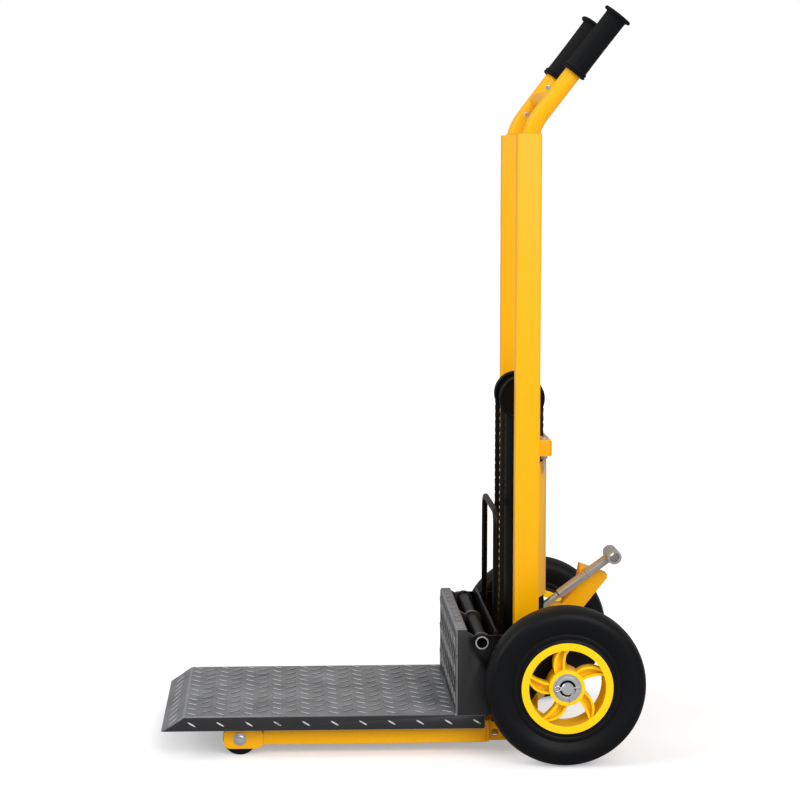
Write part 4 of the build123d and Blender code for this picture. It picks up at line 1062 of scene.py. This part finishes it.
class STACKER_OT_ram(bpy.types.Operator):
    """Make the lifting ram, its crosshead and the chain pulleys."""

    bl_idname = "stacker.ram"
    bl_label = "Ram and pulleys"

    def execute(self, context):
        low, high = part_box("ram_barrel")
        gland_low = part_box("ram_gland")[0]
        rod_low, rod_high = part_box("ram_rod")
        centre = (low + high) / 2
        whole = high.z - low.z
        rod_whole = rod_high.z - rod_low.z
        barrel = [(0, 0), (0, 0.025), (whole - 0.0015, 0.025), (whole, 0.0235), (whole, 0.02005), (0.006, 0.02005)]
        barrel += [(0.006, 0)]
        gland = [(0, 0.01106), (0, 0.0199), (0.0141, 0.0199), (0.0143, 0.016), (0.0262, 0.016), (0.028, 0.0145)]
        gland += [(0.028, 0.0128), (0.0272, 0.0124), (0.0272, 0.01106)]
        rod = [(0, 0), (0, 0.0195), (0.0004, 0.0199), (0.0196, 0.0199), (0.02, 0.0195), (0.02, 0.011)]
        rod += [(rod_whole, 0.011), (rod_whole, 0)]
        for name, outline, foot_z, slot, body in (
            ("barrel", barrel, low.z, "black_paint", "frame"),
            ("gland", gland, gland_low.z, "black_paint", "frame"),
            ("rod", rod, rod_low.z, "chromed_rod", "ram_head"),
        ):
            foot = Vector((centre.x, centre.y, foot_z))
            settle(turned(outline, foot, axis=UP), name, slot, body, (f"ram_{name}",), smooth=30)
        edge = context.scene.stacker_sizes.edge * 1.4
        dress("crosshead", "pulley_block", "black_paint", "ram_head", edge, limit=45)
        pulleys = bmesh.new()
        centre = middle("chain_pulleys")
        half = [(0.009, 0.00706), (0.009, 0.013), (0.0082, 0.0138), (0.0066, 0.0144), (0.0066, 0.0318)]
        half += [(0.0076, 0.0328), (0.0082, 0.0345), (0.0082, 0.0368), (0.0072, 0.038), (0.0058, 0.038)]
        half += [(0.0052, 0.0374), (0.005, 0.0366), (0.005, 0.0275), (0.0042, 0.0266)]
        for way in OUTWARD:
            add_apart(pulleys, lathe, mirrored(half), at_x(centre, way * CHAIN_X), 96)
        settle(pulleys, "pulley_pair", "black_paint", "pulleys", ("chain_pulleys",), smooth=30)
        return {"FINISHED"}


def link_plate(work, centre_x):
    """A figure-eight link plate across the chain, its pins one pitch apart along Z."""
    sizes = bpy.context.scene.stacker_sizes
    outline = []
    for way in (1, -1):
        for step in range(9):
            angle = radians(-52 + 104 * step / 8) + (0 if way == 1 else pi)
            outline.append((sizes.link_end * sin(angle), way * sizes.link_pitch / 2 + sizes.link_end * cos(angle)))
        outline.append((way * sizes.link_waist, 0.0))
    faces = (centre_x - sizes.link_plate / 2, centre_x + sizes.link_plate / 2)
    rings = [[work.verts.new((x, y, z)) for y, z in outline] for x in faces]
    bridge(work, rings)
    cap(work, rings)
    bmesh.ops.recalc_face_normals(work, faces=work.faces[:])


def link_object(name, plates, pin_radius, pin_half):
    """Two plates with a pin or roller through each end."""
    half_pitch = bpy.context.scene.stacker_sizes.link_pitch / 2
    work = bmesh.new()
    for centre_x in (-plates, plates):
        add_apart(work, link_plate, centre_x)
    for way in (1, -1):
        start = Vector((-pin_half, 0, way * half_pitch))
        add_apart(work, add_shaft, start, OUTWARD[1], pin_radius, 2 * pin_half, 0.0002, 14)
    return helper_object(name, work)


@once("Roller chain")
def chain_tree(name):
    """Alternating chain links along a path that is laid from pin to pin."""
    group, given, out = geometry_group(name, pitch="Float", outer_link="Object", inner_link="Object")
    spaced = spaced_curve(group, given["Geometry"], calc(group, "DIVIDE", given["Pitch"], 2.0))
    points = add_node(group, "GeometryNodeCurveToPoints", {"Curve": spaced}, mode="EVALUATED")
    index = add_node(group, "GeometryNodeInputIndex").outputs[0]
    number = calc(group, "FLOOR", calc(group, "DIVIDE", index, 2.0))
    aim = add_node(
        group,
        "FunctionNodeAxesToRotation",
        {"Primary Axis": points.outputs["Tangent"], "Secondary Axis": (1.0, 0.0, 0.0)},
        primary_axis="Z",
        secondary_axis="X",
    )
    pair = add_node(group, "GeometryNodeJoinGeometry")
    for key in ("Inner link", "Outer link"):
        link = add_node(group, "GeometryNodeObjectInfo", {"Object": given[key], "As Instance": True})
        group.links.new(link.outputs["Geometry"], pair.inputs[0])
    laid = add_node(
        group,
        "GeometryNodeInstanceOnPoints",
        {
            "Points": points.outputs["Points"],
            "Selection": calc(group, "MODULO", index, 2.0),
            "Instance": pair.outputs["Geometry"],
            "Pick Instance": True,
            "Instance Index": calc(group, "MODULO", number, 2.0),
            "Rotation": aim.outputs["Rotation"],
        },
    )
    return end_tree(group, laid.outputs["Instances"], given, out)


class STACKER_OT_chains(bpy.types.Operator):
    """Lay the links of the four chain runs."""

    bl_idname = "stacker.chains"
    bl_label = "Chains"

    def execute(self, context):
        sizes = context.scene.stacker_sizes
        outer = link_object("outer_link", sizes.link_half - 0.0009, 0.0019, sizes.link_half)
        inner = link_object("inner_link", sizes.link_half - 0.0024, 0.004, sizes.link_half - 0.003)
        centre = middle("chain_pulleys")
        radius = sizes.pulley_radius
        step = 0.002
        for side, way in SIDES.items():
            place_x = way * CHAIN_X
            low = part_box(f"chain_rear_{side}")[0].z
            count = round((centre.z - low) / step)
            path = [Vector((place_x, centre.y + radius, low + (centre.z - low) * i / count)) for i in range(count)]
            for angle in circle(128)[:65]:
                path.append(Vector((place_x, centre.y + radius * cos(angle), centre.z + radius * sin(angle))))
            self.lay(f"chain_back_{side}", path, outer, inner, f"chain_rear_{side}")
            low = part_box(f"chain_front_{side}")[0].z
            count = round((centre.z - low) / step)
            path = [
                Vector((place_x, centre.y - radius, centre.z - (centre.z - low) * i / count)) for i in range(count + 1)
            ]
            front = self.lay(f"chain_drop_{side}", path, outer, inner, f"chain_front_{side}")
            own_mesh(front)
        drop((outer, inner))
        return {"FINISHED"}

    def lay(self, name, path, outer, inner, node):
        pitch = bpy.context.scene.stacker_sizes.link_pitch
        links = {"pitch": pitch, "outer_link": outer, "inner_link": inner}
        mesh = run_tree(chain_tree(), line_mesh(path), "oiled_chain", **links)
        return place_mesh(mesh, name, "oiled_chain", "ram_head", (node,), 35)


class STACKER_OT_housing(bpy.types.Operator):
    """Make the rear housing and the chain anchor with its bolts."""

    bl_idname = "stacker.housing"
    bl_label = "Rear housing"

    def execute(self, context):
        dress("rear_housing", "housing", limit=25)
        dress("chain_anchor_bar", "anchor_bar", limit=50)
        low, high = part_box("rear_housing")
        bar_low, bar_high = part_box("chain_anchor_bar")
        bolts_low, bolts_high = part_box("chain_anchor_bolts")
        place_y = ((bolts_low + bolts_high) / 2).y
        seams = []
        bolts = bmesh.new()
        for way in OUTWARD:
            for start in (low.z + 0.02, (low.z + high.z) / 2 + 0.03, high.z - 0.05):
                seams.append(upright_line(way * high.x, low.y + 0.0232, start, start + 0.03))
            bar_end = way * (bar_high.x - 0.0004)
            seams.append(upright_line(bar_end, bar_high.y, bar_low.z + 0.001, bar_high.z - 0.001))
            under = Vector((way * 0.088, place_y, bar_low.z))
            add_hex_head(bolts, under, -UP, 0.006, 0.007)
            add_apart(bolts, add_thread, under - UP * 0.007, -UP, 0.003, 0.023)
            add_apart(bolts, add_hex_head, Vector((under.x, place_y, bar_high.z)), UP, 0.006, 0.004)
        welds("housing_welds", seams, 0.7)
        settle(bolts, "anchor_bolts", "zinc_steel", "frame", ("chain_anchor_bolts",))
        return {"FINISHED"}


class STACKER_OT_pump(bpy.types.Operator):
    """Make the foot pump, its lever and its pedal."""

    bl_idname = "stacker.pump"
    bl_label = "Foot pump"

    def execute(self, context):
        sizes = context.scene.stacker_sizes
        dress("pump_body", "pump_casting", "pump_casting", radius=0.0012, limit=50, segments=3)
        low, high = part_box("pump_pivot_pin")
        centre = (low + high) / 2
        half = (high.x - low.x) / 2
        pin = mirrored([(-half, 0), (-half, 0.0036), (-half + 0.0004, 0.004)])
        settle(turned(pin, centre, 48), "pump_pin", "zinc_steel", "frame", ("pump_pivot_pin",), smooth=30)
        low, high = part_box("pump_body")
        screws = bmesh.new()
        for across in (-0.0275, 0.0063, 0.0283):
            spot = Vector((across, high.y - 0.0001, low.z + 0.0065))
            add_apart(screws, add_button_head, spot, BACKWARD, 0.0032, 0.0018, 0.0013)
        settle(screws, "pump_screws", "zinc_steel")

        tube_low, tube_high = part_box("lever_crosstube")
        tube = (tube_low + tube_high) / 2
        pivot = at_x(centre, tube.x)
        along = (tube - pivot).normalized()
        whole = (tube - pivot).length
        neck = whole * 0.27
        ring = whole * 0.65
        end = whole - 0.0085
        bar = [(0.0045, 0), (0.0045, 0.0056), (neck - 0.001, 0.0059), (neck + 0.0012, 0.008), (ring - 0.0004, 0.008)]
        bar += [(ring, 0.0086), (ring + 0.0006, 0.009), (ring + 0.0044, 0.009), (ring + 0.005, 0.0086)]
        bar += [(ring + 0.0054, 0.008), (end, 0.008), (end, 0)]
        lever = turned(bar, pivot, 64, along)
        eye = mirrored([(-0.008, 0.00405), (-0.008, 0.0071), (-0.0076, 0.0075)])
        add_apart(lever, lathe, eye, pivot, 48)
        settle(lever, "lever_bar", "bare_steel", "lever", ("pump_lever",), smooth=30)
        half = (tube_high.x - tube_low.x) / 2
        outer = (tube_high.z - tube_low.z) / 2
        bore = sizes.crosstube_bore
        wall = [(-half, bore + 0.0004), (-half, outer - 0.0006), (-half + 0.0006, outer), (half - 0.0006, outer)]
        wall += [(half, outer - 0.0006), (half, bore + 0.0004), (half - 0.0006, bore), (-half + 0.0006, bore)]
        settle(turned(wall, tube), "crosstube", "bare_steel", "lever", ("lever_crosstube",), smooth=30)
        seam = []
        upward = OUTWARD[1].cross(along).normalized()
        for angle in circle(32):
            off = OUTWARD[1] * (0.0083 * cos(angle)) + upward * (0.0083 * sin(angle))
            seam.append(tube + off - along * (outer ** 2 - (0.0083 * sin(angle)) ** 2) ** 0.5)
        welds("lever_weld", [seam], 0.6, "bare_steel", "lever")
        dress("foot_pedal", "pedal_plate", "yellow_paint", "pedal", limit=25)
        return {"FINISHED"}


class STACKER_OT_carriage(bpy.types.Operator):
    """Make the carriage's plates, bars, guard loop, axles and guide rollers."""

    bl_idname = "stacker.carriage"
    bl_label = "Carriage"

    def execute(self, context):
        for node, name, limit in (
            ("carriage_plate_left", "cheek_left", 40),
            ("carriage_plate_right", "cheek_right", 40),
            ("carriage_crossbar", "crossbar", 30),
            ("carriage_member", "member", 45),
        ):
            dress(node, name, "black_paint", "carriage", limit=limit)
        low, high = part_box("guard_loop")
        radius = 0.005
        loop_y = (low.y + high.y) / 2
        corners = line(
            (low.x + radius, loop_y, low.z),
            (low.x + radius, loop_y, high.z - radius),
            (high.x - radius, loop_y, high.z - radius),
            (high.x - radius, loop_y, low.z),
        )
        loop = bar_piece(arc_path(corners, 0.022, 14), radius, 28)
        settle(loop, "guard_bar", "black_paint", "carriage", ("guard_loop",), smooth=60)
        tube_low, tube_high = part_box("pivot_tube")
        centre = (tube_low + tube_high) / 2
        outer = (tube_high.z - tube_low.z) / 2
        bare_end = 0.0004
        end = (tube_high.x - tube_low.x) / 2 - bare_end
        wall = mirrored([(-end, 0.008), (-end, outer)])
        settle(turned(wall, centre), "pivot", "black_paint", "carriage", ("pivot_tube",), smooth=30)
        bare = bmesh.new()
        seams = []
        bar_low, bar_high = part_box("carriage_crossbar")
        for way, outward in OUTWARD.items():
            add_disc(bare, at_x(centre, way * end), outward, outer - bare_end, 0.0086, bare_end, 0.0002)
            for edge in (bar_low.y, bar_high.y):
                seams.append(upright_line(way * (bar_high.x - 0.0006), edge, bar_low.z + 0.002, bar_high.z - 0.002))
            for off in (-0.0042, 0.0042):
                x = way * (high.x - radius) + off
                seams.append(upright_line(x, bar_high.y + 0.0006, bar_low.z + 0.012, bar_high.z - 0.003))
        settle(bare, "pivot_ends", "bare_steel", "carriage", smooth=30)
        welds("carriage_welds", seams, 0.7, "black_paint", "carriage")

        plate_low, plate_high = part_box("carriage_plate_left")
        half = 0.015
        radius = 0.017
        outline = [(half, 0.00606), (half, 0.0088), (half - 0.0006, 0.0092), (half - 0.0006, 0.0122)]
        outline += [(half, 0.0128), (half, radius - 0.002), (half - 0.0006, radius - 0.0006), (half - 0.002, radius)]
        screws, rings, axles = (bmesh.new() for _ in range(3))
        spacer_start, collar_start, roller_middle = 0.143, 0.1105, 0.1275
        guides = []
        for name, body, start in (
            ("upper_rollers", "rollers_behind", 0.112),
            ("lower_rollers", "rollers_in_front", 0.0),
        ):
            spot = middle(name)
            rollers = bmesh.new()
            for way, outward in OUTWARD.items():
                face = at_x(spot, way * plate_high.x)
                add_disc(rings, face, outward, 0.012, 0.0062, 0.002)
                add_apart(screws, add_button_head, face + outward * 0.0019, outward, 0.0062, 0.0035, 0.0025)
                add_apart(axles, add_shaft, at_x(spot, way * start), outward, 0.006, plate_high.x - start)
                spacer = at_x(spot, way * spacer_start)
                add_disc(axles, spacer, outward, 0.009, 0.00602, plate_low.x - spacer_start, 0.0005)
                add_disc(axles, at_x(spot, way * collar_start), outward, 0.009, 0.00602, 0.0015, 0.0002)
                add_apart(rollers, lathe, mirrored(outline), at_x(spot, way * roller_middle), 72)
            guides.append((rollers, name, body))
        settle(rings, "cheek_washers", "black_paint", "carriage")
        settle(screws, "cheek_screws", "black_paint", "carriage", ("carriage_bolts",))
        settle(axles, "guide_axles", "zinc_steel", "carriage", ("roller_axles",))
        for rollers, name, body in guides:
            settle(rollers, f"guide_{name}", "zinc_steel", body, (name,), smooth=30)
        return {"FINISHED"}


def tread_bar(crest_highlight):
    """One raised bar of the tread plate, lying along X, as an object to repeat. Its crest carries the edge mark, a pale
    painted highlight.
    """
    sizes = bpy.context.scene.stacker_sizes
    work = bmesh.new()
    layer = work.verts.layers.float.new("edge")
    rings = []
    for inset, lift, mark in (
        (0.0, -0.0002, 0.0),
        (0.0, 0.0002, 0.0),
        (0.0007, 0.75 * sizes.lozenge_height, crest_highlight * 0.3),
        (0.0016, sizes.lozenge_height, crest_highlight),
    ):
        long_half = sizes.lozenge_length / 2 - inset * 1.6
        wide_half = sizes.lozenge_width / 2 - inset
        ring = []
        for angle in circle(16)[:-1]:
            across = wide_half * (1 if sin(angle) >= 0 else -1) * abs(sin(angle)) ** 1.15
            vert = work.verts.new((long_half * cos(angle), across, lift))
            vert[layer] = mark
            ring.append(vert)
        rings.append(ring)
    bridge(work, rings)
    work.faces.new(rings[-1])
    return helper_object("tread_bar", work)


@once("Tread bars")
def tread_tree(name):
    """Two grids of bars, crossing each other, one set half a pitch off the other."""
    sockets = {"rows": "Int", "columns": "Int", "pitch_along": "Float", "pitch_across": "Float", "bar": "Object"}
    sockets.update(second_bar="Object", bar_scale="Float", angle="Float", second_set="Bool")
    group, given, out = geometry_group(name, **sockets)
    both = add_node(group, "GeometryNodeJoinGeometry")
    for fewer, added, kind in ((0.0, 0.0, "Bar"), (1.0, pi / 2, "Second bar")):
        bar = add_node(group, "GeometryNodeObjectInfo", {"Object": given[kind], "As Instance": True})
        inputs = {}
        for count, pitch, axis in (("Rows", "Pitch along", "X"), ("Columns", "Pitch across", "Y")):
            number = calc(group, "SUBTRACT", given[count], fewer)
            inputs[f"Vertices {axis}"] = number
            inputs[f"Size {axis}"] = calc(group, "MULTIPLY", calc(group, "SUBTRACT", number, 1.0), given[pitch])
        grid = add_node(group, "GeometryNodeMeshGrid", inputs)
        aim = add_node(group, "ShaderNodeCombineXYZ", {"Z": calc(group, "ADD", given["Angle"], added)})
        inputs = {"Points": grid.outputs["Mesh"], "Instance": bar.outputs["Geometry"]}
        inputs.update({"Rotation": aim.outputs[0], "Scale": given["Bar scale"]})
        laid = add_node(group, "GeometryNodeInstanceOnPoints", inputs).outputs["Instances"]
        if fewer:
            inputs = {"Switch": given["Second set"], "True": laid}
            laid = add_node(group, "GeometryNodeSwitch", inputs).outputs["Output"]
        group.links.new(laid, both.inputs[0])
    return end_tree(group, both.outputs["Geometry"], given, out)


def tread_patch(bars, centre, along, across, whole_along, whole_across, angle=45, second=True, scale=1.0):
    """The bars of one flat patch of tread plate, as a mesh in place."""
    sizes = bpy.context.scene.stacker_sizes
    margin = 0.011
    rows = max(1, int((whole_along - 2 * margin) / sizes.tread_along) + 1)
    columns = max(1, int((whole_across - 2 * margin) / sizes.tread_across) + 1)
    mesh = run_tree(
        tread_tree(),
        bpy.data.meshes.new("patch"),
        "tread_plate",
        rows=rows,
        columns=columns,
        pitch_along=sizes.tread_along,
        pitch_across=sizes.tread_across,
        bar=bars[0],
        second_bar=bars[1],
        bar_scale=scale,
        angle=radians(angle),
        second_set=second and rows > 1 and columns > 1,
    )
    upward = along.cross(across).normalized()
    matrix = Matrix((along.normalized(), across.normalized(), upward)).transposed().to_4x4()
    matrix.translation = centre
    mesh.transform(matrix)
    return mesh


class STACKER_OT_platform(bpy.types.Operator):
    """Fold the tread plate of the deck and the back, and raise its bars."""

    bl_idname = "stacker.platform"
    bl_label = "Platform"

    def execute(self, context):
        sizes = context.scene.stacker_sizes
        deck_low, deck_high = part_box("deck")
        back_low, back_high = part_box("platform_back")
        bevel = 0.037
        bevel_y = deck_low.y + bevel
        slope = atan2(deck_high.z - deck_low.z, bevel)

        def deck_fold(edge):
            first, second = (vert.co for vert in edge.verts)
            on_top = min(first.z, second.z) > deck_high.z - 0.0005
            at_side = all(abs(abs(end.x) - deck_high.x) < 1e-4 for end in (first, second))
            level_front = all(abs(end.y - bevel_y) < 1e-3 for end in (first, second))
            sloping = at_side and abs(first.z - second.z) > 0.01 and min(first.y, second.y) < bevel_y - 0.02
            lengthwise = at_side and abs(first.y - second.y) > 0.1
            return edge.calc_length() >= 0.03 and (on_top and (lengthwise or level_front) or sloping)

        def back_fold(edge):
            first, second = (vert.co for vert in edge.verts)
            on_top = min(first.z, second.z) > back_high.z - 0.0005
            in_front = max(first.y, second.y) < back_low.y + 0.0005
            at_side = all(abs(abs(end.x) - back_high.x) < 1e-4 for end in (first, second))
            return edge.calc_length() >= 0.03 and in_front and (on_top or at_side)

        for node, name, folds in (("deck", "deck_plate", deck_fold), ("platform_back", "back_plate", back_fold)):
            work = clean_copy(node)
            round_edges(work, folds, sizes.fold, 5, 0.2)
            round_edges(work, sharper_than(35), sizes.small_edge, 2)
            settle(work, name, "tread_plate", "platform", (node,), smooth=35)

        # The first set of bars gets the full crest mark and the second half of it: painted light, one set lit and the
        # other in shade.
        bars = [tread_bar(crest_highlight) for crest_highlight in (1.0, 0.5)]
        sideways = OUTWARD[-1]
        width = deck_high.x - deck_low.x
        bevel_middle = Vector((0, (bevel_y + deck_low.y) / 2 + 0.0005, (deck_high.z + deck_low.z) / 2))
        back_middle = Vector((0, back_low.y, (deck_high.z + back_high.z) / 2))
        patches = [
            tread_patch(bars, Vector((0, (bevel_y + back_low.y) / 2, deck_high.z)), BACKWARD, sideways,
                        back_low.y - bevel_y, width, angle=-45),
            tread_patch(bars, bevel_middle, Vector((0, cos(slope), sin(slope))), sideways, 0.0446, width),
            tread_patch(bars, back_middle, UP, sideways, back_high.z - deck_high.z, width),
            tread_patch(bars, Vector((0, back_low.y + 0.0095, back_high.z)), BACKWARD, sideways, 0.019, width,
                        scale=0.62),
        ]
        for way in OUTWARD:
            skirt = Vector((way * deck_high.x, (bevel_y + deck_high.y) / 2, (deck_high.z + deck_low.z) / 2 - 0.001))
            patches.append(tread_patch(bars, skirt, BACKWARD, UP * way, deck_high.y - bevel_y, 0.025, angle=-30,
                                       second=False, scale=0.62))
        work = bmesh.new()
        for mesh in patches:
            work.from_mesh(mesh)
            bpy.data.meshes.remove(mesh)
        drop(bars)
        settle(work, "tread_bars", "tread_plate", "platform", smooth=60)
        return {"FINISHED"}


class STACKER_PT_panel(bpy.types.Panel):
    """The pieces of the machine, one button for each group."""

    bl_idname = "STACKER_PT_panel"
    bl_label = "Platform Stacker"
    bl_space_type = "VIEW_3D"
    bl_region_type = "UI"
    bl_category = "Stacker"

    def draw(self, context):
        for group in (context.scene.stacker_colours, context.scene.stacker_sizes, context.scene.stacker_stage):
            box = self.layout.box()
            for name in group.bl_rna.properties.keys():
                if name not in ("rna_type", "name"):
                    box.prop(group, name)
        for operator in OPERATORS:
            self.layout.operator(operator.bl_idname)


GROUPS = {"stacker_colours": StackerColours, "stacker_sizes": StackerSizes, "stacker_stage": StackerStage}
OPERATORS = (
    STACKER_OT_finishes,
    STACKER_OT_stage,
    STACKER_OT_mast,
    STACKER_OT_grips,
    STACKER_OT_base,
    STACKER_OT_wheels,
    STACKER_OT_ram,
    STACKER_OT_chains,
    STACKER_OT_housing,
    STACKER_OT_pump,
    STACKER_OT_carriage,
    STACKER_OT_platform,
)
CLASSES = (*GROUPS.values(), *OPERATORS, STACKER_PT_panel)


def register():
    for item in CLASSES:
        bpy.utils.register_class(item)
    for name, group in GROUPS.items():
        setattr(bpy.types.Scene, name, PointerProperty(type=group))


def unregister():
    for name in GROUPS:
        delattr(bpy.types.Scene, name)
    for item in reversed(CLASSES):
        bpy.utils.unregister_class(item)


def main():
    register()
    for operator in OPERATORS:
        getattr(bpy.ops.stacker, operator.bl_idname.split(".")[1])()


if __name__ == "__main__":
    main()
